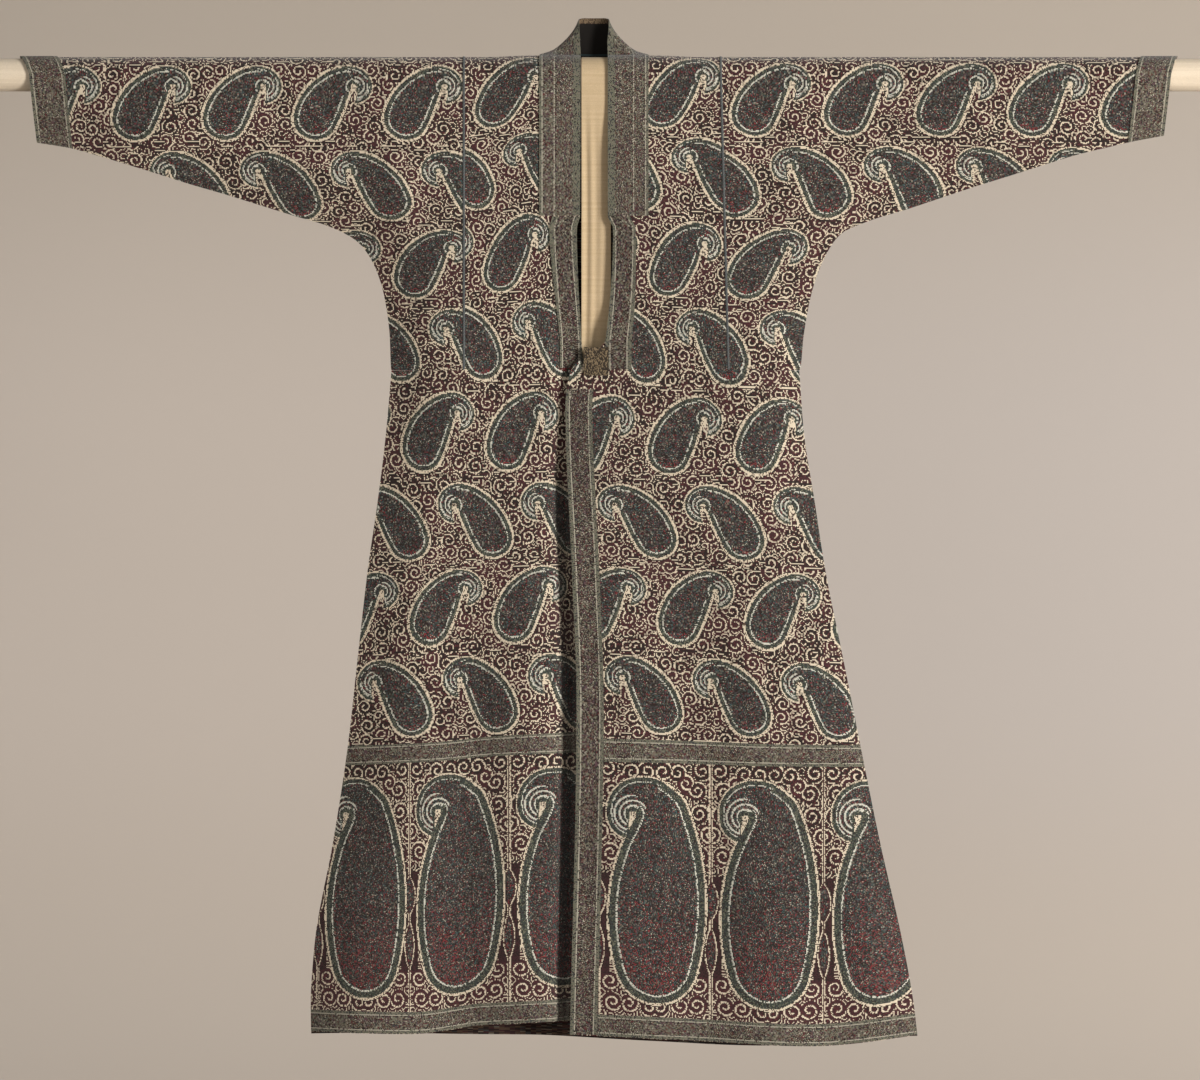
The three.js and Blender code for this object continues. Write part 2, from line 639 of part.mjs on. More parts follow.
// The skirt and hem bands of one panel.
function levelBands(name, panel, toColumn) {
  const surface = surfaces[panel];
  return [
    meshOf(`${name}_skirt_band`, bandGeometry(
      acrossBand(surface, ROWS.band, ROWS.band + 1, toColumn)), "band"),
    meshOf(`${name}_hem_band`, bandGeometry(
      acrossBand(surface, ROWS.hemBand, ROWS.hem, toColumn)), "band"),
  ];
}

function cuffGeometry(side) {
  const surface = surfaces[`${side}_sleeve`];
  const last = lastColumn(surface);
  return bandGeometry(surface.map((line) => line.slice(last - 1)));
}

const choga = new THREE.Group();
choga.name = "choga_on_rod";

["right_front", "left_front", "back", "right_sleeve", "left_sleeve"].forEach((name) => {
  choga.add(meshOf(name, panelGeometry(surfaces[name]), "shawl"));
});
const neckGrid = neckBandGrid(surfaces.right_front, surfaces.left_front);
choga.add(meshOf("neck_band", wallGeometry(neckGrid), "band"));
choga.add(meshOf("right_opening_band", openingBand("right"), "band"));
choga.add(meshOf("left_opening_band", openingBand("left"), "band"));
choga.add(meshOf("front_edge_band", edgeBand(), "band"));
choga.add(meshOf("opening_stay", wallGeometry(
  thicken(staySurface(), WALL + 2 * LIFT + BAND_WALL, BAND_WALL)), "band"));

const atEnd = (surface) => () => lastColumn(surface);
const atEdgeBand = (row) => {
  const surface = surfaces.left_front;
  const height = surfaceAt(surface, row, lastColumn(surface)).point.z;
  return columnAt(surface, row, besideEdge("left", EDGE_BAND.width + 2 * SEAM)(height));
};
choga.add(...levelBands("right", "right_front", atEnd(surfaces.right_front)));
choga.add(...levelBands("left", "left_front", atEdgeBand));
choga.add(...levelBands("back", "back", atEnd(surfaces.back)));
choga.add(meshOf("right_cuff", cuffGeometry("right"), "band"));
choga.add(meshOf("left_cuff", cuffGeometry("left"), "band"));

const rod = new THREE.CylinderGeometry(ROD.core, ROD.core, 2 * ROD.coreHalf, ROD.sides);
choga.add(meshOf("rod", rod.rotateZ(Math.PI / 2), "wood"));
choga.add(meshOf("rod_cover", rodCoverGeometry(), "muslin"));
choga.add(meshOf("rod_drop", wallGeometry(dropGrid()), "drop"));

export default choga;
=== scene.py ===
import math

import bpy
import numpy as np
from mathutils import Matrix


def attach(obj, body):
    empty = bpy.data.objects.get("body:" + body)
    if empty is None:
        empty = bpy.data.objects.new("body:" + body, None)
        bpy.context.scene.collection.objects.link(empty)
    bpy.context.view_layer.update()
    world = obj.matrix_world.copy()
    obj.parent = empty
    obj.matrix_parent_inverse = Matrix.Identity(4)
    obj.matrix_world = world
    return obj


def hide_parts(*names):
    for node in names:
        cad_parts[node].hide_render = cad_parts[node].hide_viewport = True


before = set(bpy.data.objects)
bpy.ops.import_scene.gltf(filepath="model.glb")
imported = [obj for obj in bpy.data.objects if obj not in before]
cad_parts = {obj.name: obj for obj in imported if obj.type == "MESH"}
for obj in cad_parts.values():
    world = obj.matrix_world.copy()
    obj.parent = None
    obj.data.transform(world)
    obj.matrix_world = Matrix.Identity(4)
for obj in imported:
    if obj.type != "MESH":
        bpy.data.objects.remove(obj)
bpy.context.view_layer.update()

# The choga hangs flat on a covered rod. Sizes in the tables are millimetres, the meshes are metres.
# Right and left are the wearer's own: the right half lies at -X, the fronts face -Y.
mm = 0.001

# The hung form, the same cut as the solids.
robe = {
    "wall": 1.5, "bandWall": 1.0, "lift": 0.45, "seam": 0.2, "join": -384, "edgeRound": 78,
    "clothOnRod": 21.8, "dropRoom": 1.9, "middle": -8, "neckHalf": 71,
    "rightArm": 177, "leftArm": 157, "leftArmLean": 10,
    "slitFoot": -345, "hemBand": 29, "skirtGussets": 3, "lowest": -1275, "slopeStep": 1.5,
}
sleeveLines = {  # crest, rod side and lower end, out from the origin, and the lower end's height
    "right": [(177, 177, 177, -384), (205, 205, 208, -384), (232, 232, 240, -384), (258, 258, 271, -384),
              (281, 281, 273.5, -337), (303, 303, 280, -290), (325, 325, 292, -251), (348, 348, 314, -218),
              (376, 376, 352, -197), (412, 412, 398, -183), (452, 452, 443, -169), (494, 494, 488, -155),
              (538, 537, 533, -142), (584, 581, 577, -128), (630, 624, 619, -115), (672, 662, 656, -104),
              (711, 698, 689, -95), (754, 741, 732, -88)],
    "left": [(157, 157, 167, -384), (187, 187, 198, -384), (217, 217, 229, -384), (246, 246, 259, -384),
             (272, 272, 265, -337), (297, 297, 274, -288), (321, 321, 288, -246), (347, 347, 313, -207),
             (377, 377, 352, -189), (413, 413, 398, -175), (453, 453, 443, -160), (495, 495, 488, -145),
             (538, 538, 533, -131), (583, 581, 577, -117), (629, 623, 619, -104), (671, 663, 656, -95),
             (708, 699, 690, -87), (751, 741, 733, -79)],
}
sideSeams = {  # height, right and left side seams out from the origin
    "z": [-384, -464, -554, -644, -758, -874, -997, -1130, -1209, -1262],
    "right": [271, 278, 289, 302, 315, 328, 347, 371, 376, 375],
    "left": [259, 265, 279, 293, 316, 339, 364, 394, 408, 414],
}
frontEdges = {  # height, and x of each front's free edge
    "z": [30, -184, -200, -345, -384, -430, -644, -820, -1262],
    "right": [-25, -26, -30, -24, -20, 2, 8, 6, 0],
    "left": [10, 10, 17, 7, -38, -45, -36, -30, -39],
}
levelLines = {  # share of the way across, and the heights of the skirt band and the hem there
    "right": {"share": [0, 0.35, 0.6, 1], "bandTop": [-872, -866, -858, -852],
              "bandLow": [-898, -892, -885, -880], "hem": [-1243, -1245, -1234, -1227]},
    "left": {"share": [0, 0.3, 0.65, 1], "bandTop": [-871, -869, -864, -860],
             "bandLow": [-900, -899, -895, -892], "hem": [-1248, -1261, -1254, -1246]},
    "back": {"share": [0, 0.35, 0.75, 1], "bandTop": [-872, -874, -874, -871],
             "bandLow": [-899, -901, -902, -900], "hem": [-1246, -1249, -1263, -1249]},
}
openDepths = {"z": [0, -70, -180, -330, -560, -820, -1060, -1270],
              "depth": [21.8, 20.5, 18.5, 17.5, 18.5, 21, 24.5, 28]}
folds = {  # x at the top and low end, heights of both, half width and rise
    "front": [(-196, -262, -330, -1250, 46, 6), (-150, -170, -420, -1250, 44, -5),
              (-112, -104, -300, -1250, 34, 5), (34, 52, -420, -1250, 44, 4),
              (96, 138, -360, -1250, 46, -5), (150, 226, -300, -1250, 48, 6),
              (205, 318, -400, -1250, 44, -4)],
    "back": [(-188, -270, -300, -1250, 48, 6), (-120, -172, -260, -1250, 46, -5),
             (-58, -78, -200, -1250, 42, 6), (0, 14, -240, -1250, 44, -6),
             (62, 104, -200, -1250, 42, 6), (126, 206, -260, -1250, 48, -5),
             (186, 306, -300, -1250, 46, 6)],
}
collarLines = {  # sewn edge and free edge of the standing band, from the shoulder to mid back
    "seamHalf": [67, 56, 38, 17, 0], "seamY": [4, 9.5, 14.5, 17.2, 17.8],
    "seamZ": [25.4, 23.6, 20.8, 19, 18.6],
    "freeHalf": [17.5, 19, 19, 12, 0], "freeY": [1, 6, 13, 20, 23], "freeZ": [42, 63.5, 72.5, 75, 75],
}
overlap = {"from": -76, "to": -42, "top": -292, "full": -352, "depth": 10,
           "valleyOut": 7, "valleyHalf": 11, "valleyDepth": 20, "edgeIn": 4, "edgeRise": 3,
           "valleyZ": (-430, -600)}
relief = {  # heights or places between which each kind of relief grows, and the small ripple's size
    "neckRoom": (-420, -120), "neckOut": (12, 70), "sleeveFrom": (177, 160), "sleeveIn": (-10, 20),
    "creases": (0, -40), "rippleZ": (0, -60), "ripple": 0.35, "foldIn": (0, 0.7), "bend": (0, -12),
}
creaseForm = {"bow": 4, "bowTurns": 7, "start": (-0.12, 0.25), "end": (1.12, 0.6)}


# Cubic ease between two limits: 3t^2 - 2t^3.
def smooth(low, high, x):
    t = np.clip((np.asarray(x, float) - low) / (high - low), 0, 1)
    return t * t * (3 - 2 * t)


# A table's column at any place along its key: cubic Hermite pieces whose slopes are the harmonic
# mean of the two straight slopes beside each row, and level where those differ in sign.
def through(keys, values, at):
    order = np.argsort(keys)
    k, v = np.asarray(keys, float)[order], np.asarray(values, float)[order]
    rise = np.diff(v) / np.diff(k)
    slope = np.zeros(len(k))
    same = rise[1:] * rise[:-1] > 0
    slope[1:-1][same] = 2 / (1 / rise[1:][same] + 1 / rise[:-1][same])
    slope[0], slope[-1] = rise[0], rise[-1]
    at = np.clip(np.asarray(at, float), k[0], k[-1])
    i = np.clip(np.searchsorted(k, at) - 1, 0, len(k) - 2)
    h = k[i + 1] - k[i]
    t = (at - k[i]) / h
    return (v[i] * (1 + 2 * t) * (1 - t) ** 2 + slope[i] * h * t * (1 - t) ** 2
            + v[i + 1] * t * t * (3 - 2 * t) + slope[i + 1] * h * t * t * (t - 1))


def column(side, index, at):
    table = np.array(sleeveLines[side], float)
    return through(np.arange(len(table)), table[:, index], at)


# The outline of one half: the underarm curve from the cuff, then the side seam down to the hem.
def outlineOf(side):
    sign = -1 if side == "right" else 1
    i = np.linspace(len(sleeveLines[side]) - 1, robe["skirtGussets"], 90)
    under = np.stack([sign * column(side, 2, i), column(side, 3, i)], 1)
    z = np.linspace(robe["join"], robe["lowest"], 60)[1:]
    return np.vstack([under, np.stack([sign * through(sideSeams["z"], sideSeams[side], z), z], 1)])


outlines = {side: outlineOf(side) for side in ("right", "left")}


# Shortest way from each point to a polyline: the least distance over its straight pieces.
def toLine(line, x, z):
    flat = np.stack([np.ravel(x), np.ravel(z)], 1)
    nearest = np.full(len(flat), 1e9)
    for a, b in zip(line[:-1], line[1:]):
        along = b - a
        t = np.clip(((flat - a) @ along) / (along @ along), 0, 1)
        nearest = np.minimum(nearest, np.hypot(*(flat - a - t[:, None] * along).T))
    return nearest.reshape(np.shape(x))


def toOutline(x, z):
    return np.where(x < robe["middle"], toLine(outlines["right"], x, z), toLine(outlines["left"], x, z))


def rodRadius(x):
    out = np.abs(x - robe["middle"]) - robe["neckHalf"]
    return robe["clothOnRod"] + robe["dropRoom"] * (1 - smooth(*relief["neckOut"], out))


quarterRod = robe["clothOnRod"] * math.pi / 2  # the way round the rod from its side to the crest


# Large folds: ridges of bell section whose middle line leans and whose rise grows downwards.
def foldsAt(face, x, z):
    total = np.zeros(np.shape(x))
    for topX, lowX, top, low, half, rise in folds[face]:
        down = np.clip((top - z) / (top - low), 0, 1)
        across = (x - topX - (lowX - topX) * down) / half
        total += rise * smooth(*relief["foldIn"], down) * np.exp(-across ** 2)
    return total


# Small creases: start, end, half width and rise of each soft trough or ridge.
creases = {
    "right": [
        (-262, -398, -176, -352, 7, -1.5), (-252, -430, -158, -404, 9, 1.3),
        (-240, -470, -150, -520, 11, -1.2), (-86, -372, -150, -430, 9, 1.4),
        (-84, -398, -128, -520, 10, -1.6), (-98, -560, -88, -800, 12, 1.6),
        (-200, -560, -214, -820, 14, -1.5), (-140, -640, -152, -850, 12, 1.2),
        (-230, -905, -258, -1190, 12, -1.8), (-150, -930, -158, -1200, 11, 1.5),
        (-88, -900, -86, -1205, 10, -1.6), (-310, -1020, -336, -1200, 12, 1.4),
        (-120, -240, -96, -330, 10, 0.9), (-160, -90, -110, -40, 10, 0.8),
    ],
    "left": [
        (250, -400, 172, -356, 7, -1.5), (244, -440, 160, -420, 9, 1.2),
        (228, -500, 130, -530, 12, -1.1), (30, -400, 96, -452, 9, 1.3), (8, -430, 40, -560, 10, -1.3),
        (20, -600, 28, -840, 12, 1.2), (140, -600, 172, -850, 14, -1.5),
        (216, -640, 256, -850, 12, 1.3), (60, -930, 66, -1210, 12, -1.4),
        (168, -920, 196, -1215, 12, 1.6), (286, -960, 330, -1215, 12, -1.6),
        (112, -1000, 118, -1220, 10, 1.2), (70, -230, 96, -330, 10, 0.9), (140, -70, 96, -34, 10, 0.8),
    ],
    "back": [
        (-240, -396, -150, -330, 8, -1.4), (232, -396, 150, -326, 8, -1.5),
        (-60, -60, 40, -96, 12, -1.3), (-90, -150, 70, -176, 14, 1.0),
        (-216, -470, -140, -560, 12, 1.3), (206, -470, 130, -566, 12, 1.2),
        (-40, -420, -52, -700, 12, -1.4), (84, -440, 110, -730, 12, 1.3),
        (-150, -640, -176, -850, 12, -1.3), (30, -700, 44, -850, 10, 1.1),
        (-240, -920, -276, -1200, 12, 1.6), (-60, -930, -70, -1220, 12, -1.5),
        (90, -920, 120, -1225, 12, 1.5), (250, -930, 300, -1215, 12, -1.6),
        (180, -1000, 200, -1215, 10, 1.2),
    ],
    "sleeve": [
        (40, -20, 58, -300, 12, -1.2), (96, -24, 84, -250, 14, 1.3), (150, -26, 112, -190, 12, -1.4),
        (196, -22, 176, -150, 11, 1.2), (250, -30, 236, -140, 13, -1.3),
        (312, -24, 304, -120, 11, 1.1), (366, -30, 360, -110, 12, -1.2), (424, -22, 420, -95, 10, 1.0),
        (486, -26, 488, -80, 10, -1.1), (60, -190, 92, -110, 9, 1.4), (120, -160, 170, -80, 8, -1.2),
    ],
}


# Creases: a bell section across each line, fading out towards both of its ends.
def creasesAt(group, x, z):
    total = np.zeros(np.shape(x))
    for x0, z0, x1, z1, half, rise in creases[group]:
        dx, dz = x1 - x0, z1 - z0
        length = math.hypot(dx, dz)
        t = ((x - x0) * dx + (z - z0) * dz) / length ** 2
        bow = creaseForm["bow"] * np.sin(creaseForm["bowTurns"] * t + x0)
        away = ((x - x0) * dz - (z - z0) * dx) / length + bow
        ends = smooth(*creaseForm["start"], t) * smooth(*creaseForm["end"], t)
        total += rise * np.exp(-(away / half) ** 2) * ends
    return total


# Distance of the inner face from the middle plane: a flat tube, its open depth times the sine of
# the share of the rounding at the outline, with folds, creases and a ripple of crossed sines added.
# The right front dips under the left one, with a valley of bell section along the free edge.
def halfDepth(piece, x, z):
    face = "back" if piece.startswith("back") else "front"
    neckRoom = rodRadius(x) - robe["clothOnRod"]
    depth = through(openDepths["z"], openDepths["depth"], z) + neckRoom * smooth(*relief["neckRoom"], z)
    sleeve = np.where(x < robe["middle"], -x - relief["sleeveFrom"][0], x - relief["sleeveFrom"][1])
    ripple = np.sin(x / 17 + 0.4 * np.sin(z / 31)) * np.sin(z / 43 + x / 90)
    added = foldsAt(face, x, z) + creasesAt("sleeve", sleeve, z) * smooth(*relief["sleeveIn"], sleeve)
    added = added + creasesAt(piece if piece in creases else face, x, z) * smooth(*relief["creases"], z)
    added = added + relief["ripple"] * ripple * smooth(*relief["rippleZ"], z)
    away = np.sin(np.minimum(1, toOutline(x, z) / robe["edgeRound"]) * math.pi / 2)
    depth = robe["seam"] + (depth - robe["seam"] + added) * away
    freeEdge = farEdge("left", z)
    grown = smooth(*overlap["valleyZ"], z)
    if piece == "right":
        depth = depth - overlap["depth"] * smooth(overlap["from"], overlap["to"], x) \
            * smooth(overlap["top"], overlap["full"], z)
        valley = np.exp(-((x - freeEdge + overlap["valleyOut"]) / overlap["valleyHalf"]) ** 2)
        depth = depth - overlap["valleyDepth"] * valley * grown
    if piece == "left":
        edge = np.exp(-((x - freeEdge - overlap["edgeIn"]) / overlap["valleyHalf"]) ** 2)
        depth = depth + overlap["edgeRise"] * edge * grown
    return depth


# Points and outward normals of the cloth's inner face. s runs down the cloth: above zero it is the
# way round the rod from its side to the crest, below zero it is the height.
def clothPoints(piece, x, s):
    facing = 1.0 if piece.startswith("back") else -1.0
    x, s = np.broadcast_arrays(np.asarray(x, float), np.asarray(s, float))
    radius = rodRadius(x)
    angle = np.maximum(s, 0) / robe["clothOnRod"]
    z = np.minimum(s, 0)
    deep = halfDepth(piece, x, z)
    step = robe["slopeStep"]
    slopeX = (halfDepth(piece, x + step, z) - halfDepth(piece, x - step, z)) / (2 * step)
    slopeZ = (halfDepth(piece, x, np.minimum(z + step, 0)) - halfDepth(piece, x, z - step)) / (2 * step)
    bend = smooth(*relief["bend"], z)
    hanging = s <= 0
    y = np.where(hanging, deep, radius * np.cos(angle)) * facing
    height = np.where(hanging, s, radius * np.sin(angle))
    points = np.stack([x, y, height], -1)
    normals = np.stack([-slopeX * hanging * bend, facing * np.where(hanging, 1, np.cos(angle)),
                        np.where(hanging, -slopeZ * bend, np.sin(angle))], -1)
    return points, normals / np.linalg.norm(normals, axis=-1, keepdims=True)


# Faces of a closed mesh, turned round if they face inwards: its signed volume is then negative.
def facedOut(points, faces):
    a, b, c, d = np.moveaxis(points[faces], 1, 0)
    return faces if np.einsum("ij,ij->", a, np.cross(b, c) + np.cross(c, d)) > 0 else faces[:, ::-1]


def gridFaces(ids):
    return np.stack([ids[:-1, :-1], ids[:-1, 1:], ids[1:, 1:], ids[1:, :-1]], -1).reshape(-1, 4)


# Two maps side by side, each spread to the shape of both.
def pair(u, v):
    return np.stack(np.broadcast_arrays(u, v), -1)


# A closed wall round a grid: outer face, inner face and a rim along every open edge of the cells
# that are kept. Vertices go row by row, outer ones first.
def wallMesh(name, outer, inner, uv, mats, keep=None):
    rows, cols = outer.shape[:2]
    keep = np.ones((rows - 1, cols - 1), bool) if keep is None else keep
    n = rows * cols
    ids = np.arange(n).reshape(rows, cols)
    a, b, c, d = ids[:-1, :-1], ids[:-1, 1:], ids[1:, 1:], ids[1:, :-1]
    padded = np.pad(keep, 1)

    def pick(*corners, where=keep):
        return np.stack([q[where] for q in corners], -1)
    quads = [pick(a, b, c, d), pick(d + n, c + n, b + n, a + n)]
    rims = [pick(b, a, a + n, b + n, where=keep & ~padded[:-2, 1:-1]),
            pick(c, b, b + n, c + n, where=keep & ~padded[1:-1, 2:]),
            pick(d, c, c + n, d + n, where=keep & ~padded[2:, 1:-1]),
            pick(a, d, d + n, a + n, where=keep & ~padded[1:-1, :-2])]
    faces = np.vstack(quads + rims)
    slots = np.repeat([0, 1, 0], [len(quads[0]), len(quads[1]), len(faces) - 2 * len(quads[0])])
    points = np.vstack([outer.reshape(-1, 3), inner.reshape(-1, 3)]) * mm
    uvs = np.vstack([uv.reshape(-1, 2)] * 2) * mm
    return quadMesh(name, points, facedOut(points, faces), uvs, mats, slots if len(mats) > 1 else None)


def quadMesh(name, points, faces, uvs, mats, slots=None):
    used, faces = np.unique(faces, return_inverse=True)
    faces = faces.reshape(-1, 4)
    mesh = bpy.data.meshes.new(name)
    mesh.vertices.add(len(used))
    mesh.vertices.foreach_set("co", points[used].ravel())
    mesh.loops.add(faces.size)
    mesh.loops.foreach_set("vertex_index", faces.ravel().astype(np.int32))
    mesh.polygons.add(len(faces))
    mesh.polygons.foreach_set("loop_start", np.arange(0, faces.size, 4, dtype=np.int32))
    mesh.polygons.foreach_set("use_smooth", np.ones(len(faces), bool))
    for mat in mats:
        mesh.materials.append(mat)
    if slots is not None:
        mesh.polygons.foreach_set("material_index", slots.astype(np.int32))
    mesh.update(calc_edges=True)
    layer = mesh.uv_layers.new(name="cloth")
    layer.data.foreach_set("uv", uvs[used][faces.ravel()].ravel())
    mesh.validate()
    mesh.set_sharp_from_angle(angle=math.radians(50))
    piece = bpy.data.objects.new(name, mesh)
    bpy.context.scene.collection.objects.link(piece)
    return piece


# Lifts a surface along its normals and gives it a wall.
def liftedWall(name, points, normals, lift, wall, uv, mats, keep=None):
    return wallMesh(name, points + normals * (lift + wall), points + normals * lift, uv, mats, keep)


def dress(piece, nodes):
    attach(piece, "root")
    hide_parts(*nodes)
    return piece


# Puts a wire, a yarn's name, a tone or a number into a socket.
def feed(tree, value, socket):
    if isinstance(value, Wire):
        tree.links.new(value.socket, socket)
    else:
        value = yarn[value] if isinstance(value, str) else value
        socket.default_value = (*value, 1) if isinstance(value, tuple) else value


def newNode(tree, kind, inputs=(), **settings):
    node = tree.nodes.new("ShaderNode" + kind)
    for label, value in settings.items():
        setattr(node, label, value)
    for label, value in dict(inputs).items():
        feed(tree, value, node.inputs[label])
    return node


# A wire is one number in a node tree; arithmetic on wires adds Math nodes.
class Wire:
    def __init__(self, tree, socket):
        self.tree, self.socket = tree, socket

    def math(self, operation, *others):
        node = newNode(self.tree, "Math", enumerate((self, *others)), operation=operation)
        return Wire(self.tree, node.outputs[0])

    def __add__(self, other): return self.math("ADD", other)
    def __sub__(self, other): return self.math("SUBTRACT", other)
    def __mul__(self, other): return self.math("MULTIPLY", other)
    def __truediv__(self, other): return self.math("DIVIDE", other)
    def __neg__(self): return self.math("MULTIPLY", -1)
    def __rsub__(self, other): return self * -1 + other
    __radd__, __rmul__ = __add__, __mul__

    def under(self, other): return self.math("LESS_THAN", other)
    def over(self, other): return self.math("GREATER_THAN", other)
    def lower(self, other): return self.math("MINIMUM", other)
    def higher(self, other): return self.math("MAXIMUM", other)
    def frac(self): return self.math("FRACT")
    def floor(self): return self.math("FLOOR")
    def size(self): return self.math("ABSOLUTE")
    def sin(self): return self.math("SINE")
    def root(self): return self.math("SQRT")
    def between(self, low, high): return self.over(low) * self.under(high)

    def ease(self, low, high):
        node = newNode(self.tree, "MapRange", {"Value": self, "From Min": low, "From Max": high},
                       interpolation_type="SMOOTHSTEP")
        return Wire(self.tree, node.outputs["Result"])


def lengthOf(a, b):
    return (a * a + b * b).root()


# A node group: its tree, its inputs as wires, and a function that fills its outputs.
def newGroup(name, inputs, outputs):
    tree = bpy.data.node_groups.new(name, "ShaderNodeTree")
    kinds = {"f": "NodeSocketFloat", "v": "NodeSocketVector", "c": "NodeSocketColor"}
    for sockets, way in ((inputs, "INPUT"), (outputs, "OUTPUT")):
        for label, kind in sockets.items():
            tree.interface.new_socket(label, in_out=way, socket_type=kinds[kind])
    given = tree.nodes.new("NodeGroupInput")
    result = tree.nodes.new("NodeGroupOutput")

    def give(**values):
        for label, value in values.items():
            feed(tree, value, result.inputs[label])
        return tree
    return tree, {k: Wire(tree, given.outputs[k]) for k in inputs}, give


# Places a group beside the wires it is given and returns its outputs as wires.
def useGroup(group, **inputs):
    tree = next(value.tree for value in inputs.values() if isinstance(value, Wire))
    node = newNode(tree, "Group", node_tree=group)
    for label, value in inputs.items():
        feed(tree, value, node.inputs[label])
    return {o.name: Wire(tree, o) for o in node.outputs}


def splitVector(wire):
    node = newNode(wire.tree, "SeparateXYZ", {0: wire})
    return [Wire(wire.tree, node.outputs[i]) for i in range(3)]


def joinVector(x, y, z=0.0):
    return Wire(x.tree, newNode(x.tree, "CombineXYZ", enumerate((x, y, z))).outputs[0])


# From the first tone to the second as the amount goes from 0 to 1.
def mix(amount, first, second):
    node = newNode(amount.tree, "Mix", {0: amount, 6: first, 7: second}, data_type="RGBA")
    return Wire(amount.tree, node.outputs[2])


def steppedRamp(amount, stops):
    node = newNode(amount.tree, "ValToRGB", {0: amount})
    node.color_ramp.interpolation = "CONSTANT"
    while len(node.color_ramp.elements) < len(stops):
        node.color_ramp.elements.new(0.5)
    for element, (at, name) in zip(node.color_ramp.elements, stops):
        element.position = at
    for element, (at, name) in zip(node.color_ramp.elements, stops):
        element.color = (*yarn[name], 1)
    return Wire(amount.tree, node.outputs[0])


def noise(vector, scale, detail=2.0):
    node = newNode(vector.tree, "TexNoise", {"Vector": vector, "Scale": scale, "Detail": detail})
    return Wire(vector.tree, node.outputs["Fac"])


def whiteNoise(vector):
    node = newNode(vector.tree, "TexWhiteNoise", {"Vector": vector}, noise_dimensions="3D")
    return Wire(vector.tree, node.outputs["Value"])


# sRGB 0..255 to linear.
def tone(red, green, blue):
    return tuple((v / 255 / 12.92) if v / 255 <= 0.04045 else ((v / 255 + 0.055) / 1.055) ** 2.4
                 for v in (red, green, blue))


yarn = {  # the dyed yarns
    "cream": tone(216, 202, 178), "pale": tone(168, 162, 146), "dark": tone(42, 31, 28),
    "white": tone(206, 204, 190),
    "maroon": tone(88, 42, 44), "wine": tone(64, 36, 38), "brown": tone(84, 66, 54),
    "green": tone(56, 64, 56), "teal": tone(64, 88, 88), "slate": tone(62, 63, 62),
    "plum": tone(86, 64, 68), "grey": tone(118, 111, 98), "red": tone(124, 48, 50),
    "sage": tone(104, 104, 88),
}

# Shared effects.
weave = {"cell": 1.3, "bandCell": 1.3, "thread": 0.55}


# Steps the pattern map to whole weave cells and gives each cell two random values. Twill is the
# relief of the threads: a parabola over each slanting rib, crossed by a weaker rib.
def makeWeaveCells():
    tree, given, give = newGroup("weaveCells", {"Map": "v", "Cell": "f"},
                                 dict.fromkeys(("U", "V", "Random", "Random2", "Twill"), "f"))
    u, v, _ = splitVector(given["Map"])
    u, v, side = u * (1 / mm), v * (1 / mm), given["Cell"]
    cellU, cellV = (u / side).floor(), (v / side).floor()
    rib, cross = ((u + v) / weave["thread"]).frac(), ((u - v) / weave["thread"]).frac()
    return give(U=(cellU + 0.5) * side, V=(cellV + 0.5) * side,
                Random=whiteNoise(joinVector(cellU, cellV, 1.5)),
                Random2=whiteNoise(joinVector(cellU, cellV, 8.5)),
                Twill=rib * (1 - rib) * 4 * (cross * 0.3 + 0.7))


smallBoteh = {  # places from the middle of its frame: x, height and radius of foot and head
    "foot": (23.0, -21.0, 30.0), "head": (-9.0, 31.0, 18.5), "flankOut": 86.0, "flankIn": 300.0,
    "curl": (-26.5, 22.0), "curlRadius": 24.0, "curlGrow": 210.0, "curlPower": 3.0, "stop": 0.86,
    "hollow": 0.9, "tip": 19.5, "wedge": 10.5, "rim": (3.3, 5.0, 1.8), "arc": 4.9, "arcReach": 17.5,
    "redFrom": (-28, -46), "red": (0.36, 0.03),
}
tallBoteh = {
    "foot": (2.0, -96.0, 55.5), "head": (14.0, 107.0, 30.0), "flankOut": 350.0, "flankIn": 270.0,
    "curl": (-29.0, 101.0), "curlRadius": 35.0, "curlGrow": 115.0, "curlPower": 1.5, "stop": 0.86,
    "hollow": 2.0, "tip": 31.0, "wedge": 20.0, "rim": (3.0, 8.6, 2.2), "arc": 6.8, "arcReach": 36.0,
    "redFrom": (10, -150), "red": (0.16, 0.04),
}


curls = {  # turns are shares of one round, lengths are millimetres
    "far": 90, "from": 0.25, "narrowed": 0.13, "leafEdge": -2, "softTurn": 0.62, "softening": 0.36,
    "wedgeFrom": 0.82, "wedgeTo": 0.08, "arcShare": 0.34, "arcStop": 0.82, "arcTaper": 1.22, "shadow": 1.6,
}


# Circle that a foot and a head circle touch from inside, on one flank: its middle along the line
# from foot to head, and how far beyond that line.
def flankCircle(length, footR, headR, radius):
    along = ((radius - footR) ** 2 - (radius - headR) ** 2 + length ** 2) / (2 * length)
    return along, math.sqrt((radius - footR) ** 2 - along ** 2)


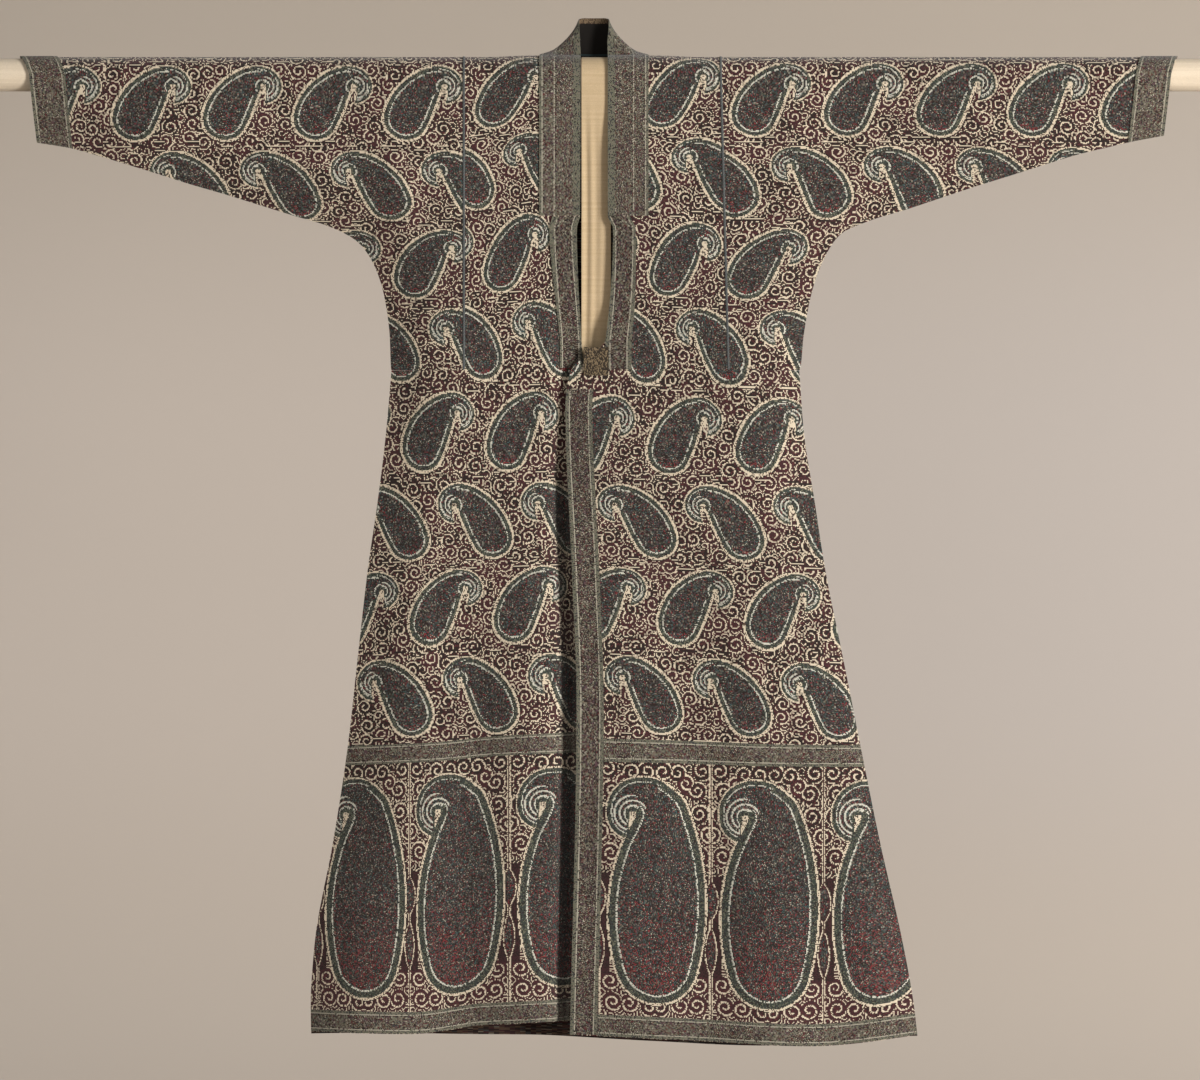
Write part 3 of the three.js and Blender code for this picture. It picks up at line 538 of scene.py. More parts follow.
# Depth in a boteh, below zero inside: the lesser of a leaf and a curl. The leaf is a foot circle and
# a head circle joined by the arc of a greater circle on each flank. The curl lies between an outer
# spiral, radius + grow times a power of the turn, and a hollow that meets it at the tip. The turn
# starts straight down and goes past the side and the top. Arcs wind inside the curl.
def makeBotehShape(name, size):
    tree, given, give = newGroup(name, {"P": "f", "Q": "f"}, {"Depth": "f", "Arc": "f", "Wedge": "f"})
    footX, footZ, footR = size["foot"]
    headX, headZ, headR = size["head"]
    length = math.hypot(headX - footX, headZ - footZ)
    axisX, axisZ = (headX - footX) / length, (headZ - footZ) / length
    p, q = given["P"] - footX, given["Q"] - footZ
    along = p * axisX + q * axisZ
    across = p * axisZ - q * axisX
    outward = across.over(0)
    outer = flankCircle(length, footR, headR, size["flankOut"])
    inner = flankCircle(length, footR, headR, size["flankIn"])
    reach = outward * (size["flankOut"] - size["flankIn"]) + size["flankIn"]
    middle = outward * (outer[0] - inner[0]) + inner[0]
    beyond = outward * (outer[1] - inner[1]) + inner[1]
    side = across.size()
    x, y = along - middle, side + beyond
    low = (x * beyond + middle * y).under(0)
    high = (x * beyond - (middle * -1 + length) * y).over(0)
    flank = lengthOf(x, y) - reach
    leaf = (lengthOf(side, along) - footR) * low + (lengthOf(side, along - length) - headR) * high
    leaf = leaf + flank * (1 - low - high)
    curlX, curlZ = size["curl"]
    cx, cz = given["P"] - curlX, given["Q"] - curlZ
    radius = lengthOf(cx, cz)
    turn = (cx.math("ARCTAN2", -cz) * (-0.5 / math.pi)).frac()
    grown = (turn - curls["from"]).higher(0).math("POWER", size["curlPower"])
    grown = grown * size["curlGrow"] + size["curlRadius"]
    narrow = ((curls["narrowed"] - turn) / curls["narrowed"]).higher(0)
    hollow = narrow * narrow * size["tip"] + size["hollow"]
    curl = (radius - grown).higher(hollow - radius) + turn.over(size["stop"]) * curls["far"]
    depth = leaf.lower(curl)
    inCurl = leaf.over(curls["leafEdge"]) * turn.under(curls["softTurn"])
    atTip = turn.over(curls["wedgeFrom"]) + turn.under(curls["wedgeTo"])
    wedge = radius.under(size["wedge"]) * atTip + radius.under(hollow)
    arc = (radius / size["arc"] - turn).frac().under(curls["arcShare"])
    arc = arc * leaf.over(curls["leafEdge"] - size["arc"]) * turn.under(curls["arcStop"])
    arc = arc * radius.under((curls["arcTaper"] - turn) * size["arcReach"])
    return give(Depth=depth / (1 - inCurl * curls["softening"]), Arc=arc, Wedge=wedge * depth.over(0))


# Yarn in the heart of a boteh: a random pick for each cell, with red picks as the redness grows.
def heartColor(random, random2, redness):
    mixed = steppedRamp(random, [(0, "dark"), (0.4, "slate"), (0.57, "green"), (0.69, "plum"), (0.76, "grey"),
                                 (0.85, "brown"), (0.88, "teal"), (0.95, "maroon"), (0.98, "pale")])
    return mix(random2.under(redness), mixed, "red")


# Lines that follow a boteh's outline inwards: beaded cream edge, dark green band, pale line.
def rimColor(depth, random, heart, widths):
    edge, band, line = widths
    shade = steppedRamp(random, [(0, "green"), (0.36, "dark"), (0.56, "slate"), (0.8, "sage")])
    out = mix(depth.over(-(edge + band + line)), heart, mix(random.over(0.7), "white", "green"))
    out = mix(depth.over(-(edge + band)), out, shade)
    return mix(depth.over(-edge), out, mix(random.over(0.8), "cream", "brown"))


scrolls = {"jitter": 0.65, "darkShare": 0.68, "dot": 1.8, "reach": 0.46, "smallPitch": 0.47,
           "smallArm": 4.0}


# Scrolling ground: round each point of a jittered net winds a dark spiral on cream, by the radius
# over the arm's width less the turn. Outside them the same is repeated on a finer net.
def makeScrollGround():
    tree, given, give = newGroup("scrollGround", dict.fromkeys(("U", "V", "Pitch", "Arm", "Random"), "f"),
                                 {"Color": "c"})

    def winding(pitch, arm):
        spot = joinVector(given["U"] / pitch, given["V"] / pitch)
        net = newNode(tree, "TexVoronoi", {"Vector": spot, "Randomness": scrolls["jitter"], "Scale": 1},
                      voronoi_dimensions="2D")
        radius = Wire(tree, net.outputs["Distance"]) * pitch
        hue, hue2, _ = splitVector(Wire(tree, net.outputs["Color"]))
        away = newNode(tree, "VectorMath", {0: spot, 1: Wire(tree, net.outputs["Position"])},
                       operation="SUBTRACT")
        dx, dz, _ = splitVector(Wire(tree, away.outputs[0]))
        turn = dz.math("ARCTAN2", dx) * (hue.over(0.5) * 2 - 1) / (2 * math.pi) + hue2
        arms = (radius / arm - turn).frac().under(scrolls["darkShare"])
        return radius, arms.higher(radius.under(scrolls["dot"])), hue2
    random = given["Random"]
    radius, dark, hue = winding(given["Pitch"], given["Arm"])
    _, smallDark, _ = winding(given["Pitch"] * scrolls["smallPitch"], scrolls["smallArm"])
    inside = radius.under(given["Pitch"] * scrolls["reach"])
    isDark = smallDark + (dark - smallDark) * inside
    stemTone = mix((hue + random * 0.5).over(0.75), "dark", "wine")
    stemTone = mix(random.over(0.86), stemTone, "maroon")
    return give(Color=mix(isDark, mix(random.under(0.2), "cream", "brown"), stemTone))


field = {"pitch": 112.0, "evenShift": 0.37, "fieldEnd": -950.0, "borderPitch": 146.0,
         "borderMiddle": -1169.0, "scroll": 23.0, "arm": 5.8, "borderScroll": 29.0, "borderArm": 7.2,
         "leanFrom": 120.0}
rowLines = {"dash": 7, "step": 6, "line": 14, "half": 2.6, "core": 0.7, "gaps": 0.66, "in": 3}
leaves = {  # between tall botehs: middle, half height and half width of each, and the lines round them
    "shapes": [(-10, 25, 8), (-77, 29, 6)], "light": -2.4, "edge": -0.6, "heart": 1.4,
    "halfGround": 14, "low": -112, "top": 22,
}


# One boteh with its heart, rim, curl and wedge over the ground round it. Its heart grows redder
# down its height.
def botehColor(group, p, q, ground, random, random2, size):
    shape = useGroup(group, P=p, Q=q)
    depth = shape["Depth"]
    redness = q.ease(*size["redFrom"]) * size["red"][0] + size["red"][1]
    heart = heartColor(random, random2, redness)
    heart = mix(shape["Arc"], heart, mix(random.over(0.3), "pale", "white"))
    inside = rimColor(depth, random2, heart, size["rim"])
    beside = mix(depth.between(0, curls["shadow"]) * random.under(0.7), ground, "dark")
    beside = mix(shape["Wedge"] * random2.under(0.62), beside, "cream")
    return mix(depth.under(0), beside, inside)


# The shawl pattern over the map, in millimetres: rows of small botehs that curl right in odd rows
# and left in even ones, and below the skirt band one row of tall botehs. The ground between the
# tall ones is mirrored on the line midway between them.
def makeShawlPattern():
    tree, given, give = newGroup("shawlPattern", {"Map": "v"}, {"Color": "c", "Twill": "f", "Tint": "f"})
    cell = useGroup(weaveCells, Map=given["Map"], Cell=weave["cell"])
    u, v, random, random2 = cell["U"], cell["V"], cell["Random"], cell["Random2"]
    pitch = field["pitch"]
    row = (v / -pitch).floor()
    even = (row * 0.5).frac().over(0.25)
    across = u / pitch - even * field["evenShift"] + 0.5
    p = (across.frac() - 0.5) * pitch * (even * 2 - 1)
    q = (v / pitch + row + 0.5) * pitch
    ground = useGroup(scrollGround, U=u, V=v, Pitch=field["scroll"], Arm=field["arm"], Random=random)["Color"]
    step = whiteNoise(joinVector((u / rowLines["dash"]).floor(), row, 6.5)).over(0.5) * rowLines["step"]
    step = step - rowLines["step"] / 2
    offRow = (q.size() - pitch / 2 + rowLines["in"] + step * (q.over(0) * 2 - 1)) * -1
    isLine = whiteNoise(joinVector((u / rowLines["line"]).floor(), row, 2.5)).over(rowLines["gaps"])
    for half, name in ((rowLines["half"], "dark"), (rowLines["core"], "cream")):
        ground = mix(offRow.between(-half, half) * isLine, ground, name)
    fieldTone = botehColor(smallShape, p, q, ground, random, random2, smallBoteh)
    wide = field["borderPitch"]
    p = ((u / wide + 0.5).frac() - 0.5) * wide
    q = v - field["borderMiddle"]
    fromMiddle = wide / 2 - p.size()
    ground = useGroup(scrollGround, U=fromMiddle, V=v, Pitch=field["borderScroll"],
                      Arm=field["borderArm"], Random=random)["Color"]
    inLeaf = fromMiddle * -1
    for middle, halfHeight, halfWidth in leaves["shapes"]:
        share = (q - middle) / halfHeight
        inLeaf = inLeaf.higher((1 - share * share) * halfWidth - fromMiddle)
    between = fromMiddle.under(leaves["halfGround"]) * q.between(leaves["low"], leaves["top"])
    ground = mix(between, ground, mix(random.over(0.5), "dark", "wine"))
    ground = mix(inLeaf.over(leaves["light"]), ground, mix(random2.over(0.75), "cream", "brown"))
    ground = mix(inLeaf.over(leaves["edge"]), ground, "wine")
    ground = mix(inLeaf.over(leaves["heart"]), ground, heartColor(random, random2, 0.1))
    borderTone = botehColor(tallShape, p, q, ground, random, random2, tallBoteh)
    return give(Color=mix(v.under(field["fieldEnd"]), fieldTone, borderTone), Twill=cell["Twill"],
                Tint=random2)


# Woven band: a speckled middle between pale lines, with grey-green guards outside them. Sewn and
# Inner are the lines' distances from the sewn edge, Free the last one's from the other edge. The last
# input is a share of cells turned dark: dark yarn at small shares, painted shade at the larger
# shares of the opening and edge bands.
def makeBandPattern():
    names = ("Half", "Sewn", "Inner", "Free", "Dark")
    tree, given, give = newGroup("bandPattern", {"Map": "v", **dict.fromkeys(names, "f")},
                                 {"Color": "c", "Twill": "f"})
    half, sewn, inner, free, dark = (given[name] for name in names)
    cell = useGroup(weaveCells, Map=given["Map"], Cell=weave["bandCell"])
    u, v, random, random2 = cell["U"], cell["V"], cell["Random"], cell["Random2"]
    fromSewn, fromFree = v + half, half - v
    base = steppedRamp(random, [(0, "dark"), (0.1, "brown"), (0.32, "slate"), (0.46, "grey"), (0.7, "sage"),
                                (0.92, "plum"), (0.96, "pale")])
    # Cells turned dark by that share: dark yarn, and on the opening and edge bands also painted shade.
    base = mix(random2.under(dark), base, "dark")
    blots = noise(joinVector(u / 9, v / 5), 1.0, 1.0)
    tones = mix(blots.over(0.56) * random2.over(0.66), base, "plum")
    tones = mix(blots.under(0.4) * random2.over(0.74), tones, "maroon")
    guard = steppedRamp(random2, [(0, "sage"), (0.5, "grey"), (0.72, "slate"), (0.9, "dark")])
    outside = (fromSewn - sewn).under(0).higher((fromFree - free).under(0))
    tones = mix(outside, tones, guard)
    for place, share in ((fromSewn - sewn, 0.8), (fromSewn - inner, 0.62),
                         (fromFree - free, free.under(9) * 0.8)):
        tones = mix((place - 2.0).size().under(0.7) * random.under(share * 0.5), tones, "dark")
        tones = mix(place.size().under(0.7) * random.under(share), tones, "pale")
    return give(Color=tones, Twill=cell["Twill"])


# Slow drift of tone and fine fuzz over a cloth, from object space.
def makeWear():
    tree, given, give = newGroup("clothWear", {"Color": "c", "Place": "v", "Amount": "f"},
                                 {"Color": "c", "Rough": "f", "Fuzz": "f"})
    broad, fine = noise(given["Place"], 5.0, 3.0), noise(given["Place"], 900.0, 2.0)
    light = (broad - 0.5) * given["Amount"] + (fine - 0.5) * 0.35 + 1
    scaled = newNode(tree, "VectorMath", {0: given["Color"], "Scale": light}, operation="SCALE")
    return give(Color=Wire(tree, scaled.outputs[0]), Rough=fine * 0.12 + 0.8, Fuzz=fine)


# Materials.
def startMaterial(name, sheen=0.25, rough=0.5, specular=0.22):
    mat = bpy.data.materials.new(name)
    mat.use_nodes = True
    tree = mat.node_tree
    shader = tree.nodes["Principled BSDF"]
    for label, value in (("Sheen Weight", sheen), ("Sheen Roughness", 0.45), ("Roughness", rough),
                         ("Specular IOR Level", specular)):
        shader.inputs[label].default_value = value
    return mat, tree, shader


def objectPlace(tree):
    return Wire(tree, newNode(tree, "TexCoord").outputs["Object"])


def clothMap(started):
    return Wire(started[1], newNode(started[1], "UVMap", uv_map="cloth").outputs[0])


# Wears a colour and gives it with its bump to the shader; returns the material.
def wornCloth(started, color, height, amount=0.5, strength=0.55, distance=0.0004):
    mat, tree, shader = started
    worn = useGroup(wear, Color=color, Place=objectPlace(tree), Amount=amount)
    bump = newNode(tree, "Bump", {"Strength": strength, "Distance": distance,
                                  "Height": height + worn["Fuzz"] * 0.8})
    for label, wire in (("Base Color", worn["Color"]), ("Roughness", worn["Rough"]),
                        ("Normal", Wire(tree, bump.outputs[0]))):
        feed(tree, wire, shader.inputs[label])
    return mat


def shawlMaterial():
    made = startMaterial("shawlCloth")
    pattern = useGroup(shawlPattern, Map=clothMap(made))
    return wornCloth(made, pattern["Color"], pattern["Twill"] + pattern["Tint"] * 0.9)


floats = {"across": 140, "down": 900}  # streaks to the metre


# The reverse shows the loose yarn floats: short streaks of the darker dyes across the cloth.
def reverseMaterial():
    made = startMaterial("shawlReverse", 0.15)
    u, v, _ = splitVector(clothMap(made))
    streak = whiteNoise(joinVector((u * floats["across"]).floor(), (v * floats["down"]).floor(), 3.5))
    shade = steppedRamp(streak, [(0, "dark"), (0.4, "brown"), (0.62, "wine"), (0.8, "slate"), (0.94, "grey")])
    return wornCloth(made, shade, streak)


collarInside = {"teal": (5.0, 7.4), "brown": (1.2, 3.0), "turned": 46, "flecks": 770, "rib": 9000}


# The collar's inside: near black, which is painted shade of the deep neck hollow, with a teal line and a
# brown one above its sewn edge, and the tan turned edge of the band at the top.
def collarShadeMaterial():
    made = startMaterial("collarInsidePaintedShade", 0.05)
    u, v, _ = splitVector(clothMap(made))
    fromSeam = v * (1 / mm) + neck["width"] / 2
    # Near black base tone: painted shade of the collar's hollow.
    shade = mix(fromSeam.between(*collarInside["teal"]), tone(24, 20, 17), tone(44, 56, 58))
    shade = mix(fromSeam.between(*collarInside["brown"]), shade, tone(54, 42, 30))
    fleck = whiteNoise(joinVector((u * collarInside["flecks"]).floor(), (v * collarInside["flecks"]).floor(), 2.5))
    turned = mix(fleck.over(0.6), tone(116, 98, 76), tone(70, 56, 44))
    shade = mix(fromSeam.over(collarInside["turned"]), shade, turned)
    return wornCloth(made, shade, (v * collarInside["rib"]).sin())


def bandMaterial(name, half, sewn, inner, free, dark):
    made = startMaterial(name)
    pattern = useGroup(bandPattern, Map=clothMap(made), Half=half, Sewn=sewn, Inner=inner, Free=free,
                       Dark=dark)
    return wornCloth(made, pattern["Color"], pattern["Twill"])


plain = {"threads": 5200, "slubs": (8, 260), "slub": (0.3, 0.75), "slubTone": 0.35}
wood = {"wobble": (3, 30), "core": (0.006, -0.004), "rings": 380}
spots = {"size": 3.5, "share": 0.68, "stray": 0.4}
stitches = {"slant": 0.6, "count": 520, "share": 0.55}


# Plain muslin: threads over and under in both directions, with slubs.
def muslinMaterial(name, color, dark):
    made = startMaterial(name, 0.12)
    u, v, _ = splitVector(clothMap(made))
    warp, weft = (u * plain["threads"]).sin(), (v * plain["threads"]).sin()
    slub = noise(joinVector(u * plain["slubs"][0], v * plain["slubs"][1]), 1.0, 2.0)
    shade = mix(slub.ease(*plain["slub"]) * plain["slubTone"], color, dark)
    return wornCloth(made, shade, warp * weft * 0.5 + slub, 0.16, 0.3, 0.0003)


# Growth rings round a line just off the rod's axis, with a slow wobble along the grain.
def woodMaterial():
    made = startMaterial("rodWood", 0.0, specular=0.4)
    x, y, z = splitVector(objectPlace(made[1]))
    along, across = wood["wobble"]
    wobble = noise(joinVector(x * along, y * across, z * across), 1.0, 3.0)
    radius = lengthOf(y + wood["core"][0], z + wood["core"][1])
    rings = (radius * wood["rings"] + wobble * 2).sin() * 0.5 + 0.5
    return wornCloth(made, mix(rings, tone(176, 138, 92), tone(138, 98, 58)), rings, 0.2, 0.15)


# The stay is a scrap of another cloth: tan with clustered dark spots.
def stayMaterial():
    made = startMaterial("stayCloth")
    cell = useGroup(weaveCells, Map=clothMap(made), Cell=weave["cell"])
    blots = noise(joinVector(cell["U"] / spots["size"], cell["V"] / spots["size"]), 1.0, 1.0)
    shade = mix(cell["Random"].over(0.6), tone(128, 111, 86), tone(98, 84, 64))
    shade = mix((blots + cell["Random2"] * spots["stray"]).over(spots["share"]), shade, tone(50, 42, 33))
    return wornCloth(made, shade, cell["Twill"])


# Silk binding on the armhole seams: short slanting stitches of blue-grey thread.
def bindingMaterial():
    made = startMaterial("seamBinding", 0.4)
    u, v, _ = splitVector(clothMap(made))
    stitch = ((u * stitches["slant"] + v) * stitches["count"]).frac()
    return wornCloth(made, mix(stitch.over(stitches["share"]), tone(102, 108, 108), tone(54, 50, 50)), stitch)


weaveCells = makeWeaveCells()
smallShape = makeBotehShape("smallBoteh", smallBoteh)
tallShape = makeBotehShape("tallBoteh", tallBoteh)
scrollGround = makeScrollGround()
shawlPattern = makeShawlPattern()
bandPattern = makeBandPattern()
wear = makeWear()
shawl = shawlMaterial()
reverse = reverseMaterial()
bandMats = {  # half width, lines from the sewn edge, line from the free edge, share of dark cells
    name: bandMaterial(name, *values) for name, values in {
        # The larger shares of dark cells of the opening and edge bands are painted shade.
        "neckBand": (26.5, 4.0, 19.5, 10.0, 0.04), "openingBand": (16.0, 5.0, -9.0, 5.0, 0.24),
        "edgeBand": (17.5, 5.5, -9.0, 5.0, 0.26), "levelBand": (14.0, 4.0, -9.0, 4.0, 0.06),
        "cuffBand": (22.0, 5.0, -9.0, 5.0, 0.05)}.items()}
muslin = muslinMaterial("rodMuslin", tone(224, 209, 186), tone(200, 182, 155))
# The drop's muslin is a darker, warmer copy of the rod's muslin: painted shade of the hollow behind the slit.
shadedDropMuslin = muslinMaterial("shadedDropMuslin", tone(196, 174, 140), tone(168, 142, 106))
print("materials made")

# The first row's middle on the pattern map, from row to row there, and how far the map goes on at
# that scale above the first row and below the last one on the cloth.
patternRows = {"odd": -56, "step": -112, "above": 112, "below": 110}
patternStarts = {  # heights of the rows' middles on the cloth, lean, x of each row's first boteh, pitches
    "right": {"s": [-25, -122, -234, -345, -463, -580, -687, -806],
              "lean": [0, 0.2, 0.08, 0.05, 0, 0.03, 0.04, 0.04],
              "x": [-110, -120, -106, -108, -100, -95, -90, -86],
              "pitch": [115, 102, 101, 104, 109, 108, 109, 111],
              "borderX": [-426, -306, -186, -47, 92], "borderU": [-438, -292, -146, 0, 146]},
    "left": {"s": [-25, -128, -242, -352, -470, -582, -692, -809],
             "lean": [0, 0, 0.04, 0.04, 0, 0.02, 0.04, 0.04],
             "x": [108, 99, 112, 104, 111, 119, 125, 128],
             "pitch": [112, 119, 107, 105, 114, 114, 113, 115],
             "borderX": [-221, -75, 71, 217, 363, 509], "borderU": [-292, -146, 0, 146, 292, 438]},
    "rightSleeve": {"s": [-38, -146, -245, -352, -464], "x": [-229, -224, -218, -214, -210],
                    "pitch": [117.5, 117.5, 114, 110, 110]},
    "leftSleeve": {"s": [-34, -140, -247, -352, -464], "x": [342, 350, 334, 330, 330],
                   "pitch": [120, 120, 118, 116, 116]},
    "back": {"s": [-32, -143, -240, -344, -464, -578, -689, -800], "x": [-8] * 8, "pitch": [111] * 8,
             "borderX": [-428, -288, -148, -8, 132, 272, 412],
             "borderU": [-438, -292, -146, 0, 146, 292, 438]},
}
borderPlaces = {"bandLow": -1000, "hemTop": -1335, "hem": -1365}  # heights on the border's map


# Place on the pattern map: across by each row's first boteh and pitch, down by the rows' middles,
# and below the skirt band by the border's own places.
def patternMap(group, x, s, borderV=None):
    start = patternStarts[group]
    middles = start["s"]
    drop = s
    if "lean" in start:
        drop = s + through(middles, start["lean"], s) * (np.abs(x) - field["leanFrom"])
    heights = [middles[0] + patternRows["above"]] + middles + [middles[-1] - patternRows["below"]]
    places = patternRows["odd"] + patternRows["step"] * np.arange(-1.0, len(middles) + 1)
    u = (x - through(middles, start["x"], s)) * field["pitch"] / through(middles, start["pitch"], s)
    v = through(heights, places, drop)
    if borderV is not None:
        low = np.isfinite(borderV)
        u = np.where(low, through(start["borderX"], start["borderU"], x), u)
        v = np.where(low, borderV, v)
    return np.stack([u, v], -1)


# Body panels.
panel = {"rodRows": 8, "upperRows": 64, "skirtRows": 80, "bandRows": 5, "borderRows": 54,
         "hemRows": 5, "gussetCols": 16, "bodyCols": 30, "backCols": 56}


# Row heights across a panel: even steps from the rod to the level seam, then steps between the
# lines of the skirt band and the hem band, which lean a little from side to side.
def panelRows(piece, share):
    table = levelLines[piece]
    bandTop, bandLow, hem = (through(table["share"], table[k], share) for k in ("bandTop", "bandLow", "hem"))
    stops = [np.full_like(share, quarterRod - robe["seam"]), np.zeros_like(share),
             np.full_like(share, robe["join"]), bandTop, bandLow, hem + robe["hemBand"], hem]
    counts = [panel[k] for k in ("rodRows", "upperRows", "skirtRows", "bandRows", "borderRows", "hemRows")]
    parts = [a + (b - a) * np.linspace(0, 1, n + 1)[:-1, None] for a, b, n in zip(stops, stops[1:], counts)]
    names = ("crest", "rod", "join", "bandTop", "bandLow", "hemTop", "hem")
    return np.vstack(parts + [hem[None]]), dict(zip(names, np.cumsum([0] + counts)))


# Place on the border's map of each row below the skirt band, and nothing above it.
def borderMap(rowCount, marks, cols):
    v = np.full((rowCount, cols), np.nan)
    v[marks["bandLow"] - 2:marks["bandLow"]] = borderPlaces["bandLow"]
    for a, b in (("bandLow", "hemTop"), ("hemTop", "hem")):
        steps = np.linspace(borderPlaces[a], borderPlaces[b], marks[b] - marks[a] + 1)
        v[marks[a]:marks[b] + 1] = steps[:, None]
    return v


def armhole(side, s):
    if side == "right":
        return np.full_like(s, -robe["rightArm"] + robe["seam"])
    return robe["leftArm"] + robe["leftArmLean"] * np.clip(s / robe["join"], 0, 1) - robe["seam"]


def sideSeam(side, s):
    return (-1 if side == "right" else 1) * through(sideSeams["z"], sideSeams[side], s)


def farEdge(side, s):
    return through(frontEdges["z"], frontEdges[side], s)


# Start of the back's upper edge at the neck: the angle of the sewn edge's point over the rod.
def neckStart(x):
    half = np.abs(x - robe["middle"])
    order = slice(None, None, -1)
    halves = np.append(np.array(collarLines["seamHalf"], float)[order], robe["neckHalf"])
    y = through(halves, np.append(np.array(collarLines["seamY"], float)[order], robe["seam"]), half)
    z = through(halves, np.append(np.array(collarLines["seamZ"], float)[order], robe["clothOnRod"]), half)
    return np.where(half < robe["neckHalf"], np.arctan2(y, z), 0) * robe["clothOnRod"] + 2 * robe["seam"]


# A panel's inner face. Its columns run from its side seam to a front's free edge, or to the back's
# other side seam, and above the level seam only those inside the armholes are kept.
def panelSurface(piece):
    side, other = ("right", "left") if piece == "back" else (piece, None)
    gusset, body = panel["gussetCols"], panel["backCols" if other else "bodyCols"]
    join = np.full((1, 1), float(robe["join"]))

    def farSide(table, s):
        return table(other, s) if other else farEdge(side, s)
    ends = [float(value[0, 0]) for value in (sideSeam(side, join), armhole(side, join),
                                             farSide(armhole, join), farSide(sideSeam, join))]
    counts = (gusset, body, gusset if other else 0)
    parts = [np.linspace(a, b, n + 1)[:-1] for a, b, n in zip(ends, ends[1:], counts)]
    joinX = np.concatenate(parts + [ends[3:]])
    share = (joinX - ends[0]) / (ends[3] - ends[0])
    s, marks = panelRows(piece, share)
    at = marks["join"]
    across = (np.arange(len(share)) - gusset) / body
    near, far = armhole(side, s), farSide(armhole, s)
    low, lowFar = sideSeam(side, s[:, :1]), farSide(sideSeam, s[:, -1:])
    x = np.where(np.arange(len(s))[:, None] < at, near + (far - near) * across[None],
                 low + (lowFar - low) * share[None])
    if piece == "back":
        s[:marks["rod"]] = (quarterRod - neckStart(x[0])) * np.linspace(1, 0, marks["rod"] + 1)[:-1, None]
    keep = np.ones((len(s) - 1, len(share) - 1), bool)
    for cols in (slice(0, gusset), slice(-gusset, None))[:2 if other else 1]:
        s[at, cols] -= robe["seam"]
        keep[:at, cols] = False
    return x, s, marks, keep


def makePanel(name, piece, surface):
    x, s, marks, keep = surface
    points, normals = clothPoints(piece, x, s)
    uv = patternMap(piece, x, s, borderMap(len(s), marks, x.shape[1]))
    made = liftedWall(name + "_cloth", points, normals, 0, robe["wall"], uv, [shawl, reverse], keep)
    return dress(made, [name])


panelNodes = {"right": "right_front", "left": "left_front", "back": "back"}
surfaces = {piece: panelSurface(piece) for piece in panelNodes}
makePanel("right_front", "right", surfaces["right"])
makePanel("left_front", "left", surfaces["left"])
makePanel("back", "back", surfaces["back"])
print("fronts and back made")

# Sleeves.
sleeve = {"cols": 108, "legRows": 36, "rodRows": 8}


# A sleeve's sheet: each line starts at the front's underarm seam, goes up over the rod and down
# to the back's seam. Lines fan out from the armhole to the cuff.
def sleeveSurface(side):
    sign = -1 if side == "right" else 1
    i = np.linspace(0, len(sleeveLines[side]) - 1, sleeve["cols"] + 1)[None]
    crestX, rodX, outX, low = (column(side, k, i) for k in range(4))
    leg = np.linspace(1, 0, sleeve["legRows"] + 1)[:-1, None]
    over = np.linspace(0, 1, sleeve["rodRows"] + 1)[:, None]
    seam = np.where(i < robe["skirtGussets"] + 0.01, robe["seam"], 0)
    inset = 2 * robe["seam"] * smooth(1, 0, i)
    legX, legS = rodX + (outX - rodX) * leg + inset, low * leg + seam * leg
    rodLineX, rodS = rodX + (crestX - rodX) * over + inset, quarterRod * over + 0 * i
    front = np.vstack([legX, rodLineX]), np.vstack([legS, rodS])
    back = front[0][:-1][::-1], front[1][:-1][::-1]
    return sign * front[0], front[1], sign * back[0], back[1]


def sleevePoints(side):
    fx, fs, bx, bs = sleeveSurface(side)
    frontP, frontN = clothPoints(side, fx, fs)
    backP, backN = clothPoints("back", bx, bs)
    uv = np.vstack([patternMap(side + "Sleeve", fx, fs), patternMap(side + "Sleeve", bx, bs)])
    return np.vstack([frontP, backP]), np.vstack([frontN, backN]), uv


sleeves = {side: sleevePoints(side) for side in ("right", "left")}
for side, flat, area in (("right", (0.578, 0.60), 0.258), ("left", (0.595, 0.60), 0.262)):
    points, normals, uv = sleeves[side]
    made = liftedWall(side + "_sleeve_cloth", points, normals, 0, robe["wall"], uv, [shawl, reverse])
    dress(made, [side + "_sleeve"])
print("sleeves made")

# Bands on the panels.
bandLift = robe["wall"] + robe["lift"]
bandGrid = {"from": 0.02, "to": 0.98, "rows": 5, "cols": 7, "step": 6, "least": 8}


# A level band: the panel's own columns, between two of its marked rows. On the left front it ends
# at cutX, beside the edge band.
def levelBand(name, piece, top, low, node, width, cutX=None):
    x, s, marks, _ = surfaces[piece]
    cols = slice(None)
    if cutX is not None:
        cols = slice(0, int(np.argmax(x[marks[low]] < cutX)))
    a, b = marks[top], marks[low]
    t = np.linspace(bandGrid["from"], bandGrid["to"], bandGrid["rows"])[:, None]
    bandX = x[a:a + 1, cols] * (1 - t) + x[b:b + 1, cols] * t
    bandS = s[a:a + 1, cols] * (1 - t) + s[b:b + 1, cols] * t
    if cutX is not None:
        bandX[:, -1] = cutX
    across = (0.5 - t) * width + 0 * bandX
    uv = np.stack([bandX, across], -1)
    points, normals = clothPoints(piece, bandX, bandS)
    made = liftedWall(name, points, normals, bandLift, robe["bandWall"], uv, [bandMats["levelBand"]])
    return dress(made, [node])


